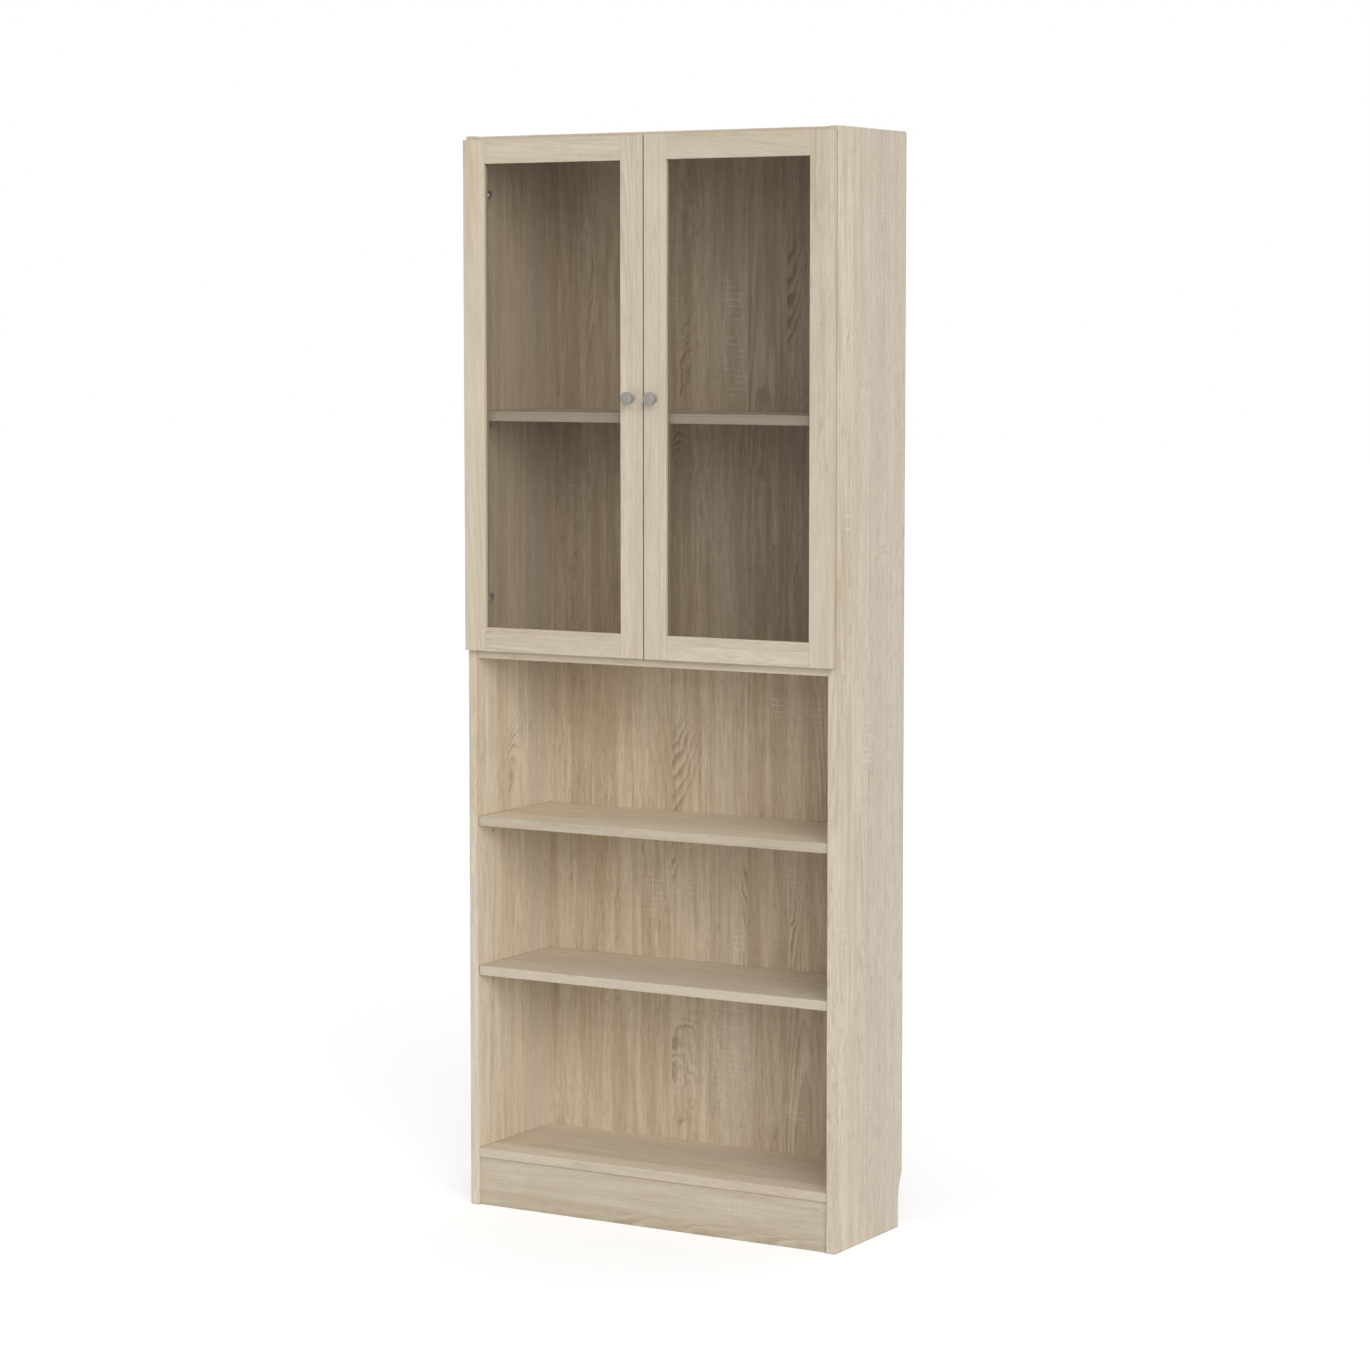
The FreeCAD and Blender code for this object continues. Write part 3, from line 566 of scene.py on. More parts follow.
# ladders are saw marks at (across, along, half width, half length, strength), flames are placed figures
boards = {
    "left_side_panel": {
        "grain": "upright", "print": 1, "strip": 0.072, "edge": 0.3, "edgeTone": 0.92, "contrast": 1.0,
        "ladders": [(-0.4585, 1.003, 0.012, 0.024), (-0.455, 0.20, 0.016, 0.05)],
        "flames": [{"edge": -0.385, "middle": 0.845, "width": 0.055, "half": 0.075, "turns": 2.2, "knot": 2.0,
                    "stir": 2.6}],
    },
    "right_side_panel": {
        "grain": "upright", "print": 48, "strip": 0.072, "shift": 0.068, "tone": 0.915, "contrast": 1.2,
        "grey": (0.690, 0.602, 0.505, 1), "edge": 0.5, "edgeTone": 0.96,
        "ladders": [(0.3215, 1.030, 0.014, 0.040), (0.401, 0.925, 0.018, 0.050, 1.6),
                    (0.3215, 1.314, 0.013, 0.046, 1.6), (0.469, 1.275, 0.022, 0.028, 1.6),
                    (0.3135, 1.875, 0.011, 0.045), (0.457, 1.898, 0.014, 0.016),
                    (0.401, 1.556, 0.018, 0.010), (0.3215, 0.575, 0.016, 0.042),
                    (0.465, 0.617, 0.016, 0.012), (0.417, 0.257, 0.022, 0.032)],
        "flames": [{"edge": 0.318, "middle": 1.660, "width": 0.026, "half": 0.060, "turns": 1.6, "stir": 2.0},
                   {"edge": 0.405, "middle": 0.835, "width": 0.034, "half": 0.034, "turns": 0.8, "knot": 2.0,
                    "stir": 2.4, "warp": 0.02},
                   {"edge": 0.318, "middle": 0.340, "width": 0.024, "half": 0.050, "turns": 1.4,
                    "stir": 2.0}],
    },
    "top_panel": {"grain": "level", "print": 3, "strip": 0.080, "edge": 0.25},
    "fixed_shelf": {"grain": "level", "print": 4, "strip": 0.075, "edge": 0.25, "edgeTone": 0.93},
    "bottom_shelf": {"grain": "level", "print": 5, "strip": 0.085, "edge": 0.25, "edgeTone": 0.82,
                     "contrast": 0.6, "tone": 1.04},
    "plinth_board": {
        "grain": "level", "print": 6, "strip": 0.060, "figure": 0.35, "tone": 0.78, "contrast": 0.75,
        "ladders": [(-0.046, 0.19, 0.022, 0.06)],
        "flames": [{"edge": -0.109, "middle": 0.06, "width": 0.040, "half": 0.300, "turns": 3.0, "arch": 3.0,
                    "stir": 1.4, "dark": 0.4}],
    },
    "open_shelf_lower": {"grain": "level", "print": 7, "strip": 0.080, "edge": 0.3, "edgeTone": 0.90,
                         "contrast": 0.6, "tone": 1.05},
    "open_shelf_upper": {"grain": "level", "print": 8, "strip": 0.075, "edge": 0.3, "edgeTone": 0.79,
                         "contrast": 0.6, "tone": 1.045},
    "display_shelf": {"grain": "level", "print": 9, "strip": 0.080, "edge": 0.3, "contrast": 0.6},
    "left_hinge_stile": {"grain": "upright", "print": 10, "strip": 0.064, "contrast": 0.5},
    "left_meeting_stile": {"grain": "upright", "print": 11, "strip": 0.060, "contrast": 0.75, "tone": 0.955},
    "left_top_rail": {"grain": "level", "print": 12, "strip": 0.060, "tone": 0.96},
    "left_bottom_rail": {"grain": "level", "print": 13, "strip": 0.062, "tone": 0.88},
    "right_hinge_stile": {"grain": "upright", "print": 14, "strip": 0.060, "contrast": 0.75, "tone": 0.91},
    "right_meeting_stile": {"grain": "upright", "print": 15, "strip": 0.064},
    "right_top_rail": {"grain": "level", "print": 16, "strip": 0.060, "tone": 0.94},
    "right_bottom_rail": {"grain": "level", "print": 17, "strip": 0.062, "tone": 0.89},
    "left_glass_beads": {"grain": "upright", "print": 18, "strip": 0.050},
    "right_glass_beads": {"grain": "upright", "print": 19, "strip": 0.050},
}


def grainAxes(tree, grain):
    # position over the sheet: across the grain and along it
    x, y, z = axes(tree, objectPlace(tree))
    if grain == "upright":
        return maths(tree, "ADD", x, y), z
    return maths(tree, "ADD", y, z), x


def normalInY(tree):
    normal = put(tree, "ShaderNodeTexCoord").outputs["Normal"]
    return axes(tree, normal)[1]


def toned(colour, factor):
    return [part * factor for part in colour[:3]] + [1]


def oakSurface(tree, board, look):
    across, along = grainAxes(tree, board["grain"])
    tone = board.get("tone", 1.0)
    ladder = 0.0
    for middleAcross, middleAlong, halfWidth, halfLength, *strength in board.get("ladders", []):
        window = placeGroup(tree, windowGroup, {
            "Across": across, "Along": along, "Middle Across": middleAcross, "Middle Along": middleAlong,
            "Half Width": halfWidth, "Half Length": halfLength})["Mask"]
        if strength:
            window = times(tree, window, strength[0])
        ladder = maths(tree, "MAXIMUM", window, ladder)
    figure = board.get("figure", 0.5)
    if "edge" in board:
        # the narrow front edge has a figure of its own, and often its own tone
        onEdge = stepped(tree, times(tree, normalInY(tree), -1.0), 0.3, 0.7)
        figure = ranged(tree, onEdge, figure, board["edge"])
    oak = placeGroup(tree, oakGroup, {
        "Across": across, "Along": along, "Print": board["print"], "Strip Width": board["strip"],
        "Strip Shift": board.get("shift", 0.0), "Figure": figure, "Contrast": board.get("contrast", 0.7),
        "Saw Marks": board.get("saw", 0.5), "Ladder": ladder, "Pale": toned(look["pale"], tone),
        "Tan": toned(look["tan"], tone), "Line": look["line"],
        "Grey": toned(board.get("grey", look["grey"]), tone)})
    colour = oak["Color"]
    if "edgeTone" in board:
        edgeColour = mixed(tree, 1.0, colour, toned((1, 1, 1), board["edgeTone"]), "MULTIPLY")
        colour = mixed(tree, onEdge, colour, edgeColour)
    for flame in board.get("flames", []):
        lines = placeGroup(tree, flameGroup, {
            "Across": across, "Along": along, "Edge": flame["edge"], "Middle": flame["middle"],
            "Width": flame["width"], "Half Length": flame["half"], "Turns": flame["turns"],
            "Arch": flame.get("arch", 4.0), "Knot": flame.get("knot", 0.0), "Stir": flame.get("stir", 1.5),
            "Warp": flame.get("warp", 0.012)})
        dark = times(tree, lines["Dark"], flame.get("dark", 0.55))
        colour = mixed(tree, dark, colour, look["line"])
        colour = mixed(tree, times(tree, lines["Pale"], 0.35), colour, look["pale"])
    return colour, oak["Roughness"], oak["Height"]


def makeBoard(name, board, look):
    material, tree, shader = newMaterial("oak_" + name)
    colour, roughness, height = oakSurface(tree, board, look)
    y = axes(tree, objectPlace(tree))[1]
    joint = apart(tree, y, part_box(name)[0].y + look["bandWidth"])
    joint = inverse(tree, stepped(tree, joint, 0.0001, 0.0004))
    colour = mixed(tree, times(tree, joint, look["bandShow"]), colour, look["line"])
    worn = placeGroup(tree, edgeGroup, {"Reach": look["edgeReach"]})["Mask"]
    colour = mixed(tree, times(tree, worn, look["wornShow"]), colour, look["worn"])
    dust = placeGroup(tree, dustGroup, {"Amount": look["dustAmount"]})["Mask"]
    colour = mixed(tree, dust, colour, look["dust"])
    # painted shade: joints, gaps and corners are darkened in the colour where occlusion is close
    paintedShade = placeGroup(tree, paintedShadeGroup, {"Reach": look["paintedShadeReach"]})["Mask"]
    colour = mixed(tree, times(tree, paintedShade, look["paintedShadeShow"]), colour, look["paintedShade"])
    feedAll(tree, shader, {
        "Base Color": colour, "Roughness": timesPlus(tree, dust, look["dustRough"], roughness),
        "Specular IOR Level": look["gloss"]})
    bumped(tree, shader, height, look["relief"], look["reliefDepth"])
    return material


for name, board in boards.items():
    dress(makeBoard(name, board, oakLook), name)
print("oak boards dressed:", len(boards))


# thin back boards: the print in front, raw pressed fibre behind

backLook = {
    "lower_back_panel": {
        "grain": "upright", "print": 16, "strip": 0.088, "shift": 0.016, "figure": 0.7, "contrast": 1.35,
        "saw": 0.15,
        "ladders": [(0.004, 0.588, 0.024, 0.052), (0.004, 0.683, 0.020, 0.014), (0.072, 0.608, 0.028, 0.016),
                    (0.194, 0.516, 0.016, 0.032), (0.307, 0.658, 0.016, 0.038), (0.180, 0.285, 0.046, 0.112),
                    (0.316, 0.182, 0.026, 0.030), (0.280, 0.966, 0.018, 0.028), (0.360, 0.945, 0.022, 0.042)],
        "flames": [{"edge": 0.044, "middle": 0.815, "width": 0.088, "half": 0.105, "turns": 3.2, "arch": 6.5,
                    "stir": 1.7},
                   {"edge": 0.044, "middle": 0.225, "width": 0.080, "half": 0.110, "turns": 1.0, "arch": 1.0,
                    "knot": 2.2, "stir": 3.0, "warp": 0.075, "dark": 0.7},
                   {"edge": 0.044, "middle": 0.665, "width": 0.040, "half": 0.065, "turns": 1.6, "stir": 1.6},
                   {"edge": 0.212, "middle": 0.600, "width": -0.036, "half": 0.080, "turns": 1.5,
                    "stir": 1.8},
                   {"edge": 0.306, "middle": 0.520, "width": 0.045, "half": 0.070, "turns": 1.8, "arch": 6.0,
                    "stir": 1.4}],
    },
    "upper_back_panel": {
        "grain": "upright", "print": 16, "strip": 0.088, "shift": 0.016, "figure": 0.8, "contrast": 1.7,
        "saw": 0.15,
        "ladders": [(0.181, 1.660, 0.028, 0.130, 1.6), (0.061, 1.790, 0.014, 0.032, 1.4),
                    (0.075, 1.920, 0.030, 0.016), (0.050, 1.720, 0.012, 0.024), (0.247, 1.390, 0.022, 0.012),
                    (-0.197, 1.356, 0.024, 0.027), (-0.132, 1.153, 0.015, 0.024)],
        "flames": [{"edge": 0.296, "middle": 1.740, "width": 0.052, "half": 0.120, "turns": 3.2,
                    "stir": 2.0, "dark": 0.7},
                   {"edge": 0.062, "middle": 1.600, "width": 0.052, "half": 0.070, "turns": 1.4, "knot": 2.0,
                    "stir": 2.6, "warp": 0.03, "dark": 0.65},
                   {"edge": 0.046, "middle": 1.440, "width": 0.050, "half": 0.055, "turns": 1.2, "knot": 2.0,
                    "stir": 2.6, "warp": 0.03, "dark": 0.65},
                   {"edge": -0.142, "middle": 1.710, "width": 0.026, "half": 0.120, "turns": 1.8,
                    "arch": 3.0},
                   {"edge": 0.312, "middle": 1.185, "width": 0.022, "half": 0.040, "turns": 1.2,
                    "arch": 3.0}],
    },
    "print": {
        "pale": (0.625, 0.530, 0.400, 1),
        "tan": (0.480, 0.380, 0.260, 1),
        "grey": (0.520, 0.445, 0.350, 1),
        "line": (0.240, 0.160, 0.090, 1),
    },
    "fibre": (0.300, 0.205, 0.125, 1),
    "fibreDark": (0.200, 0.130, 0.075, 1),
    "fibreRough": 0.85,
}


def makeBack(name, look):
    material, tree, shader = newMaterial("oak_" + name)
    colour, roughness, height = oakSurface(tree, look[name], look["print"])
    inFront = maths(tree, "LESS_THAN", normalInY(tree), -0.5)
    place = objectPlace(tree)
    felt = cloud(tree, place, (260.0, 260.0, 260.0), detail=5.0, roughness=0.7)
    hair = cloud(tree, place, (90.0, 90.0, 1500.0), detail=3.0, roughness=0.6)
    mat = timesPlus(tree, hair, 0.5, times(tree, felt, 0.5))
    blotch = centred(tree, cloud(tree, place, (5.0, 5.0, 5.0), (3, 1, 2), 3.0))
    raw = stepped(tree, timesPlus(tree, blotch, 0.3, mat), 0.35, 0.65)
    raw = mixed(tree, raw, look["fibreDark"], look["fibre"])
    rawRough = timesPlus(tree, inFront, -look["fibreRough"], look["fibreRough"])
    feedAll(tree, shader, {
        "Base Color": mixed(tree, inFront, raw, colour),
        "Roughness": timesPlus(tree, inFront, roughness, rawRough), "Specular IOR Level": oakLook["gloss"]})
    relief = timesPlus(tree, inFront, height, times(tree, mat, inverse(tree, inFront)))
    bumped(tree, shader, relief, oakLook["relief"], oakLook["reliefDepth"])
    return material


for name in ("lower_back_panel", "upper_back_panel"):
    dress(makeBack(name, backLook), name)
print("back boards dressed")


# clear panes of the doors

paneLook = {
    "tint": (0.70, 0.69, 0.67, 1),      # one pass through the pane
    "through": (0.84, 0.83, 0.82, 1),   # share of the room's light that each face lets in
    "ior": 1.2,                         # a faint mirror of the white room, no more
    "smearTones": (0.97, 1.03),
    "smearRough": 0.012,
}


def makeGlass(look):
    material, tree, shader = newMaterial("paneGlass")
    smear = cloud(tree, objectPlace(tree), (7.0, 7.0, 3.0), detail=4.0, roughness=0.6)
    feedAll(tree, shader, {
        "Base Color": shaded(tree, look["tint"], ranged(tree, smear, *look["smearTones"])),
        "Roughness": ranged(tree, smear, 0.0, look["smearRough"]), "Transmission Weight": 1.0,
        "IOR": look["ior"]})
    path = tree.nodes.new("ShaderNodeLightPath").outputs
    clear = made(tree, "ShaderNodeBsdfTransparent", {"Color": look["through"]})
    lit = shader.outputs[0]
    for ray in ("Is Shadow Ray", "Is Diffuse Ray"):
        lit = made(tree, "ShaderNodeMixShader", {0: path[ray], 1: lit, 2: clear})
    out = next(node for node in tree.nodes if node.type == "OUTPUT_MATERIAL")
    tree.links.new(lit, out.inputs["Surface"])
    return material


dress(makeGlass(paneLook), *bothSides("glass_pane"))
print("panes glazed")


# metal, rubber and dowel wood

metalLook = {
    "knob": {"tone": (0.325, 0.318, 0.284, 1), "roughness": 0.55, "stretch": (900.0, 200.0, 900.0),
             "metallic": 0.45},
    "hinge": {"tone": (0.640, 0.625, 0.600, 1), "roughness": 0.24, "stretch": (250.0, 250.0, 1800.0)},
    "fastener": {"tone": (0.560, 0.545, 0.510, 1), "roughness": 0.30, "stretch": (700.0, 700.0, 700.0)},
    "support": {"tone": (0.720, 0.705, 0.680, 1), "roughness": 0.38, "stretch": (900.0, 250.0, 900.0)},
    "cam": {"tone": (0.470, 0.470, 0.465, 1), "roughness": 0.42, "stretch": (600.0, 600.0, 600.0)},
}

# brighter metal edges: real wear, and a painted highlight on sharp rims such as the knob's front edge
metalWearAndGlint = {"reach": 0.0006, "patchiness": 0.4, "brighter": 1.25, "show": 0.5,
             "relief": 0.12, "reliefDepth": 0.0001}


def makeMetal(name, look, wearAndGlint):
    material, tree, shader = newMaterial(name + "Metal")
    metal = placeGroup(tree, metalGroup, {
        "Tone": look["tone"], "Roughness": look["roughness"], "Stretch": look["stretch"]})
    # outer edges get a brighter tone: real wear, and a painted highlight along rims such as the knob's front
    # edge
    worn = placeGroup(tree, edgeGroup, {"Reach": wearAndGlint["reach"], "Patchiness": wearAndGlint["patchiness"]})["Mask"]
    wornAndGlintTone = [min(1.0, part * wearAndGlint["brighter"]) for part in look["tone"][:3]] + [1]
    colour = mixed(tree, times(tree, worn, wearAndGlint["show"]), metal["Color"], wornAndGlintTone)
    feedAll(tree, shader, {
        "Base Color": colour, "Roughness": metal["Roughness"], "Metallic": look.get("metallic", 1.0)})
    bumped(tree, shader, metal["Height"], wearAndGlint["relief"], wearAndGlint["reliefDepth"])
    return material


metals = {name: makeMetal(name, look, metalWearAndGlint) for name, look in metalLook.items()}
dress(metals["knob"], *bothSides("knob"))
dress(metals["hinge"], *bothSides("hinge_arms", "hinge_plates", "hinge_cups", "outer_links", "inner_links"))
dress(metals["fastener"], "cam_bolts", *bothSides("arm_pivots", "cup_pins"))
dress(metals["cam"], "cam_locks")
print("metal dressed")


smallLook = {
    "bumper": {"low": (0.62, 0.61, 0.57, 1), "high": (0.74, 0.73, 0.69, 1), "rate": (500.0, 500.0, 500.0)},
    "dowel": {"low": (0.50, 0.36, 0.22, 1), "high": (0.64, 0.50, 0.34, 1), "rate": (60.0, 700.0, 700.0)},
}


def makeSmall(name, look):
    material, tree, shader = newMaterial(name + "Stuff")
    grain = cloud(tree, objectPlace(tree), look["rate"], detail=4.0, roughness=0.6)
    colour = mixed(tree, stepped(tree, grain, 0.3, 0.7), look["low"], look["high"])
    feedAll(tree, shader, {"Base Color": colour, "Roughness": ranged(tree, grain, 0.45, 0.65)})
    bumped(tree, shader, grain, 0.2, 0.0002)
    return material


dress(makeSmall("bumper", smallLook["bumper"]), *bothSides("door_bumper"))
dress(makeSmall("dowel", smallLook["dowel"]), "board_dowels", *bothSides("frame_dowels"))
print("small pieces dressed")


# fastenings and shelf supports: places read from the solids, shapes from node trees

def solidBoxes(name):
    # low and high corner of each separate solid of a node
    work = bmesh.new()
    work.from_mesh(nodes[name].data)
    bmesh.ops.remove_doubles(work, verts=work.verts, dist=1e-6)
    waiting, boxes = set(work.verts), []
    while waiting:
        queue, solid = [waiting.pop()], []
        while queue:
            vert = queue.pop()
            solid.append(vert.co.copy())
            for other in [link.other_vert(vert) for link in vert.link_edges]:
                if other in waiting:
                    waiting.remove(other)
                    queue.append(other)
        boxes.append([Vector(pick(co[axis] for co in solid) for axis in range(3)) for pick in (min, max)])
    work.free()
    return sorted(boxes, key=lambda box: [round(part, 4) for part in box[0]])


def nodesGroup(name, inputs):
    tree = bpy.data.node_groups.new(name, "GeometryNodeTree")
    kinds = {"f": "NodeSocketFloat", "i": "NodeSocketInt", "m": "NodeSocketMaterial"}
    tree.interface.new_socket("Places", in_out="INPUT", socket_type="NodeSocketGeometry")
    for label, kind in inputs:
        tree.interface.new_socket(label, in_out="INPUT", socket_type=kinds[kind])
    tree.interface.new_socket("Geometry", in_out="OUTPUT", socket_type="NodeSocketGeometry")
    return tree, tree.nodes.new("NodeGroupInput").outputs, tree.nodes.new("NodeGroupOutput").inputs


def moved(tree, shape, **values):
    return made(tree, "GeometryNodeTransform", {"Geometry": shape, **values})


def joined(tree, *shapes):
    node = tree.nodes.new("GeometryNodeJoinGeometry")
    for shape in shapes:
        tree.links.new(shape, node.inputs[0])
    return node.outputs[0]


def coned(tree, top, bottom, height, sides):
    sizes = {"Vertices": sides, "Radius Top": top, "Radius Bottom": bottom, "Depth": height}
    return made(tree, "GeometryNodeMeshCone", sizes)


def pinned(tree, radius, length, sides=12, straightShare=0.8, tipShare=0.25):
    # straight shank below the seat with a short taper at its tip
    straight = times(tree, length, straightShare)
    sizes = {"Vertices": sides, "Radius": radius, "Depth": straight}
    shank = made(tree, "GeometryNodeMeshCylinder", sizes)
    shank = moved(tree, shank, Translation=vector(tree, z=times(tree, straight, -0.5)))
    taper = times(tree, length, 1.0 - straightShare)
    tip = coned(tree, radius, times(tree, radius, tipShare), taper, sides)
    return joined(tree, shank, moved(tree, tip, Translation=vector(tree, z=times(tree, length, -1.0))))


def spread(tree, given, out, shape, axis, turned, sharpAngle=0.5, mostTurn=3.14):
    # one copy at each place, facing the way the place says, crisp at its sharp edges
    angle = made(tree, "GeometryNodeInputMeshEdgeAngle")
    sharp = maths(tree, "GREATER_THAN", angle, sharpAngle)
    soft = made(tree, "GeometryNodeSetShadeSmooth", {"Geometry": shape})
    crisp = made(tree, "GeometryNodeSetShadeSmooth", {
        "Geometry": soft, "Selection": sharp, "Shade Smooth": False}, domain="EDGE")
    facing = made(tree, "GeometryNodeInputNamedAttribute", {"Name": "facing"}, data_type="FLOAT_VECTOR")
    aim = made(tree, "FunctionNodeAlignRotationToVector", {"Vector": facing}, axis=axis)
    copies = made(tree, "GeometryNodeInstanceOnPoints", {
        "Points": given["Places"], "Instance": crisp, "Rotation": aim})
    if turned:
        turn = put(tree, "FunctionNodeRandomValue", {
            "Max": mostTurn, "Seed": given["Seed"]}, data_type="FLOAT")
        copies = made(tree, "GeometryNodeRotateInstances", {
            "Instances": copies, "Rotation": vector(tree, z=turn.outputs["Value"])})
    whole = made(tree, "GeometryNodeRealizeInstances", {"Geometry": copies})
    finish = {"Geometry": whole, "Material": given["Material"]}
    tree.links.new(made(tree, "GeometryNodeSetMaterial", finish), out[0])


def makeScrewTree():
    tree, given, out = nodesGroup("crossScrew", [
        ("Seat Radius", "f"), ("Face Radius", "f"), ("Head Height", "f"), ("Recess Length", "f"),
        ("Recess Width", "f"), ("Recess Depth", "f"), ("Shank Radius", "f"), ("Shank Length", "f"),
        ("Seed", "i"), ("Material", "m")])
    head = coned(tree, given["Face Radius"], given["Seat Radius"], given["Head Height"], sides=24)
    deep = times(tree, given["Recess Depth"], 2.0)
    bar = made(tree, "GeometryNodeMeshCube", {
        "Size": vector(tree, given["Recess Length"], given["Recess Width"], deep)})
    face = vector(tree, z=given["Head Height"])
    cut = put(tree, "GeometryNodeMeshBoolean", {0: head}, operation="DIFFERENCE", solver="EXACT")
    for turn in (0.0, math.pi / 2):
        tree.links.new(moved(tree, bar, Translation=face, Rotation=(0.0, 0.0, turn)), cut.inputs[1])
    screw = joined(tree, cut.outputs[0], pinned(tree, given["Shank Radius"], given["Shank Length"]))
    spread(tree, given, out, screw, "Z", True)
    return tree


def makeNailTree():
    tree, given, out = nodesGroup("flatNail", [
        ("Seat Radius", "f"), ("Face Radius", "f"), ("Head Height", "f"), ("Shank Radius", "f"),
        ("Shank Length", "f"), ("Seed", "i"), ("Material", "m")])
    head = coned(tree, given["Face Radius"], given["Seat Radius"], given["Head Height"], sides=12)
    nail = joined(tree, head, pinned(tree, given["Shank Radius"], given["Shank Length"]))
    spread(tree, given, out, nail, "Z", True)
    return tree


def makeSupportTree():
    # a strip bent under the shelf, with a peg into the side and its riveted head
    tree, given, out = nodesGroup("shelfSupport", [
        ("Ledge", "f"), ("Height", "f"), ("Width", "f"), ("Thickness", "f"), ("Bend", "f"),
        ("Peg Radius", "f"), ("Peg Length", "f"), ("Rivet Radius", "f"), ("Material", "m")])
    half = times(tree, given["Thickness"], 0.5)
    number = tree.nodes.new("GeometryNodeInputIndex").outputs[0]
    atFoot = maths(tree, "LESS_THAN", number, 0.5)
    atLedge = maths(tree, "GREATER_THAN", number, 1.5)
    x = timesPlus(tree, atLedge, maths(tree, "SUBTRACT", given["Ledge"], half), half)
    z = timesPlus(tree, atFoot, maths(tree, "SUBTRACT", half, given["Height"]), times(tree, half, -1.0))
    line = made(tree, "GeometryNodeMeshLine", {"Count": 3})
    line = made(tree, "GeometryNodeSetPosition", {"Geometry": line, "Position": vector(tree, x, 0.0, z)})
    path = made(tree, "GeometryNodeMeshToCurve", {"Mesh": line})
    path = made(tree, "GeometryNodeFilletCurve", {
        "Curve": path, "Radius": given["Bend"], "Count": 4}, mode="POLY")
    path = made(tree, "GeometryNodeSetCurveNormal", {
        "Curve": path, "Normal": (0.0, 1.0, 0.0)}, mode="FREE")
    section = made(tree, "GeometryNodeCurvePrimitiveQuadrilateral", {
        "Width": given["Width"], "Height": given["Thickness"]})
    strip = made(tree, "GeometryNodeCurveToMesh", {
        "Curve": path, "Profile Curve": section, "Fill Caps": True})
    low = times(tree, given["Height"], -0.5)
    peg = made(tree, "GeometryNodeMeshCylinder", {
        "Vertices": 16, "Radius": given["Peg Radius"], "Depth": given["Peg Length"]})
    peg = moved(tree, peg, Rotation=(0.0, math.pi / 2, 0.0),
                Translation=vector(tree, times(tree, given["Peg Length"], -0.5), 0.0, low))
    rivet = made(tree, "GeometryNodeMeshUVSphere", {
        "Segments": 14, "Rings": 8, "Radius": given["Rivet Radius"]})
    rivet = moved(tree, rivet, Scale=(0.3, 1.0, 1.0), Translation=vector(tree, given["Thickness"], 0.0, low))
    spread(tree, given, out, joined(tree, strip, peg, rivet), "X", False)
    return tree


def growPieces(name, body, replaced, tree, places, values):
    mesh = bpy.data.meshes.new(name + "Places")
    mesh.from_pydata([place for place, facing in places], [], [])
    facings = mesh.attributes.new("facing", "FLOAT_VECTOR", "POINT")
    for number, (place, facing) in enumerate(places):
        facings.data[number].vector = facing
    piece = bpy.data.objects.new(name, mesh)
    scene.collection.objects.link(piece)
    modifier = piece.modifiers.new("pieces", "NODES")
    modifier.node_group = tree
    for item in tree.interface.items_tree:
        if item.in_out == "INPUT" and item.name in values:
            modifier[item.identifier] = values[item.name]
    shape = bpy.data.meshes.new_from_object(piece.evaluated_get(bpy.context.evaluated_depsgraph_get()))
    piece.modifiers.clear()
    piece.data = shape
    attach(piece, body)
    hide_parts(*replaced)


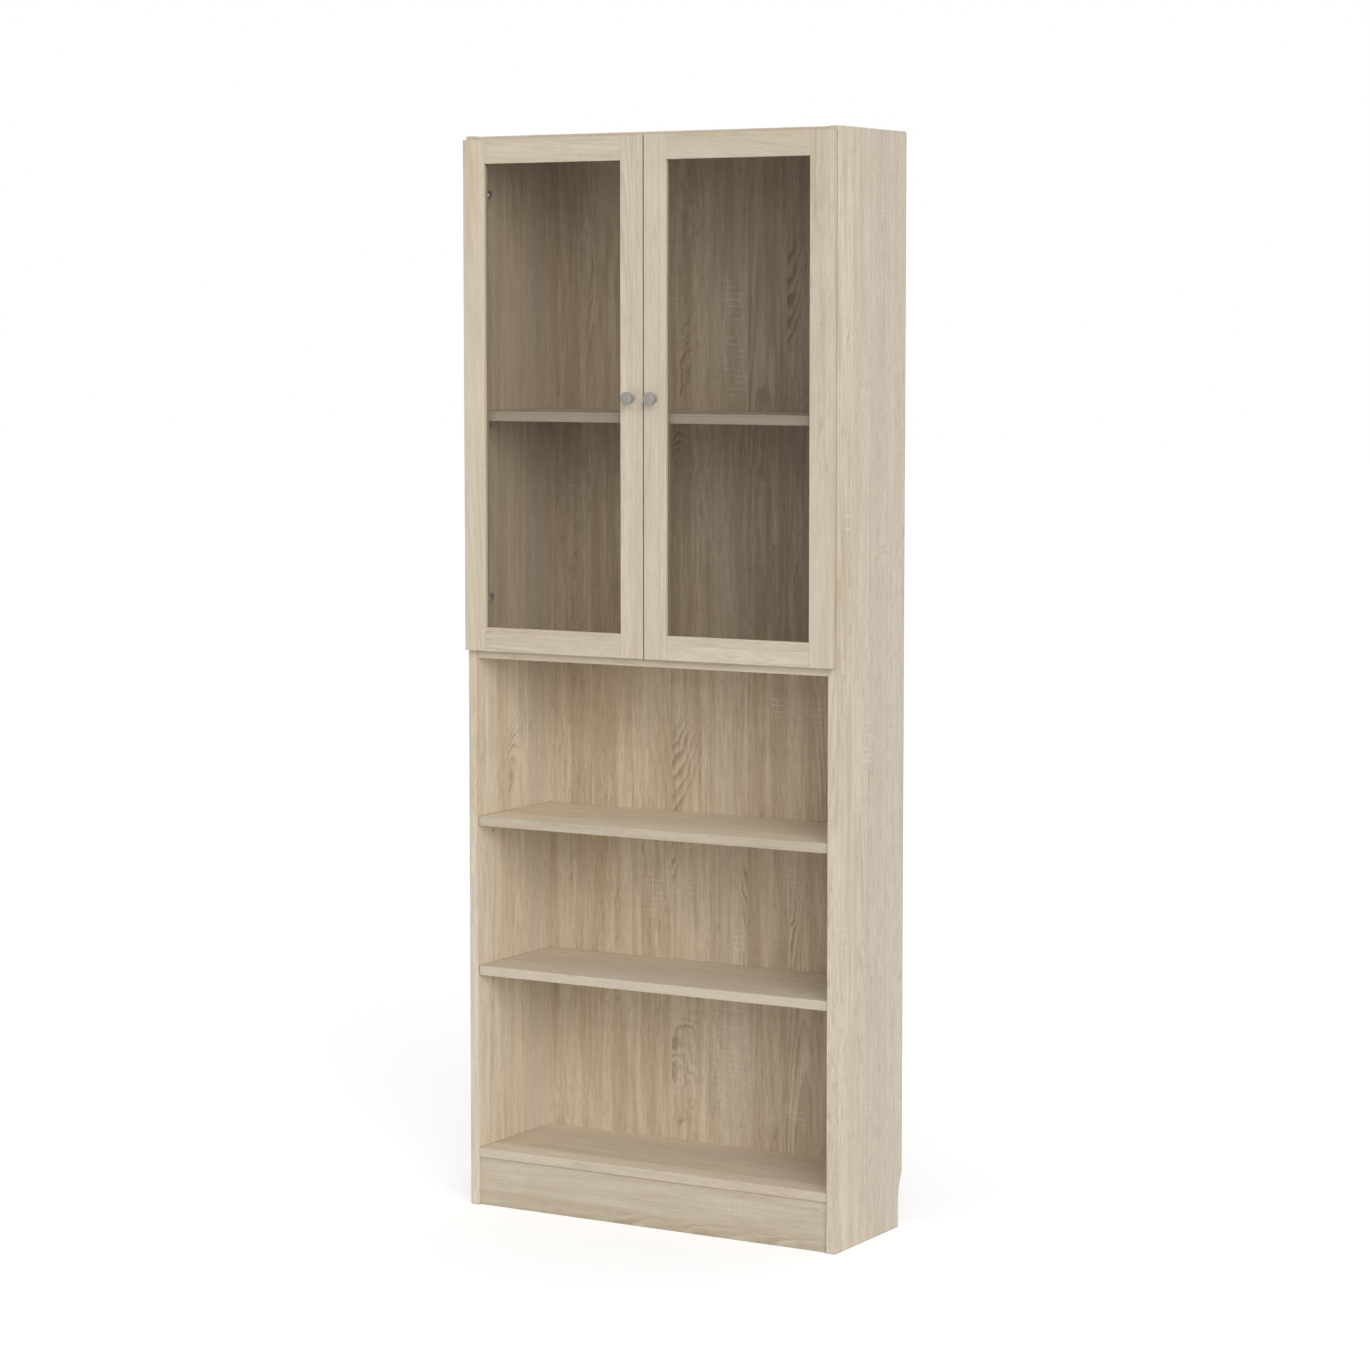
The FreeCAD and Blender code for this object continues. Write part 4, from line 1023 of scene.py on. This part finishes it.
fastenings = {
    "plateScrew": {
        "Seat Radius": 0.0040, "Face Radius": 0.0031, "Head Height": 0.0020, "Shank Radius": 0.0024,
        "Recess Length": 0.0042, "Recess Width": 0.0010, "Recess Depth": 0.0014, "Seed": 3},
    "armScrew": {
        "Seat Radius": 0.0032, "Face Radius": 0.0026, "Head Height": 0.0016, "Shank Radius": 0.0020,
        "Recess Length": 0.0036, "Recess Width": 0.0009, "Recess Depth": 0.0011, "Seed": 5},
    "cupScrew": {
        "Seat Radius": 0.00175, "Face Radius": 0.0030, "Head Height": 0.0012, "Shank Radius": 0.00175,
        "Recess Length": 0.0036, "Recess Width": 0.0009, "Recess Depth": 0.0008, "Seed": 7},
    "knobScrew": {
        "Seat Radius": 0.0040, "Face Radius": 0.0032, "Head Height": 0.0024, "Shank Radius": 0.0020,
        "Recess Length": 0.0044, "Recess Width": 0.0010, "Recess Depth": 0.0015, "Seed": 9},
    "backNail": {
        "Seat Radius": 0.0022, "Face Radius": 0.0016, "Head Height": 0.0008, "Shank Radius": 0.0008,
        "Seed": 11},
}


def makeFastenings(name, body, replaced, kind, tree, axis):
    # heads look into the case from its sides, or straight to the back
    look = dict(fastenings[kind], Material=metals["fastener"])
    places = []
    for low, high in [box for node in replaced for box in solidBoxes(node)]:
        middle = (low + high) / 2
        facing = Vector((0.0, 1.0, 0.0))
        if axis == 0:
            facing = Vector((-math.copysign(1.0, middle.x), 0.0, 0.0))
        length = (high - low)[axis]
        look["Shank Length"] = length - look["Head Height"]
        face = middle + facing * length / 2
        places.append((face - facing * look["Head Height"], facing))
    growPieces(name, body, replaced, tree, places, look)


screwTree = makeScrewTree()
makeFastenings("plate_screw_set", "carcass", bothSides("plate_screws"), "plateScrew", screwTree, 0)
makeFastenings("arm_screw_set", "carcass", bothSides("arm_screws"), "armScrew", screwTree, 0)
for side in ("left", "right"):
    door = side + "_door"
    makeFastenings(side + "_cup_screw_set", door, [side + "_cup_screws"], "cupScrew", screwTree, 1)
    makeFastenings(side + "_knob_screw_set", door, [side + "_knob_screw"], "knobScrew", screwTree, 1)
makeFastenings("back_nail_set", "carcass", ["back_nails"], "backNail", makeNailTree(), 1)

supportLook = {"Ledge": 0.009, "Height": 0.016, "Width": 0.010, "Thickness": 0.002, "Bend": 0.0016,
               "Peg Radius": 0.0025, "Peg Length": 0.009, "Rivet Radius": 0.0028}


def makeSupports(look):
    places = []
    for low, high in solidBoxes("shelf_supports"):
        inwards = -math.copysign(1.0, low.x)
        wall = low.x + look["Peg Length"] if inwards > 0 else high.x - look["Peg Length"]
        places.append(((wall, (low.y + high.y) / 2, high.z), (inwards, 0.0, 0.0)))
    growPieces("shelf_support_set", "carcass", ["shelf_supports"], makeSupportTree(), places,
               dict(look, Material=metals["support"]))


makeSupports(supportLook)
print("fastenings and supports placed")
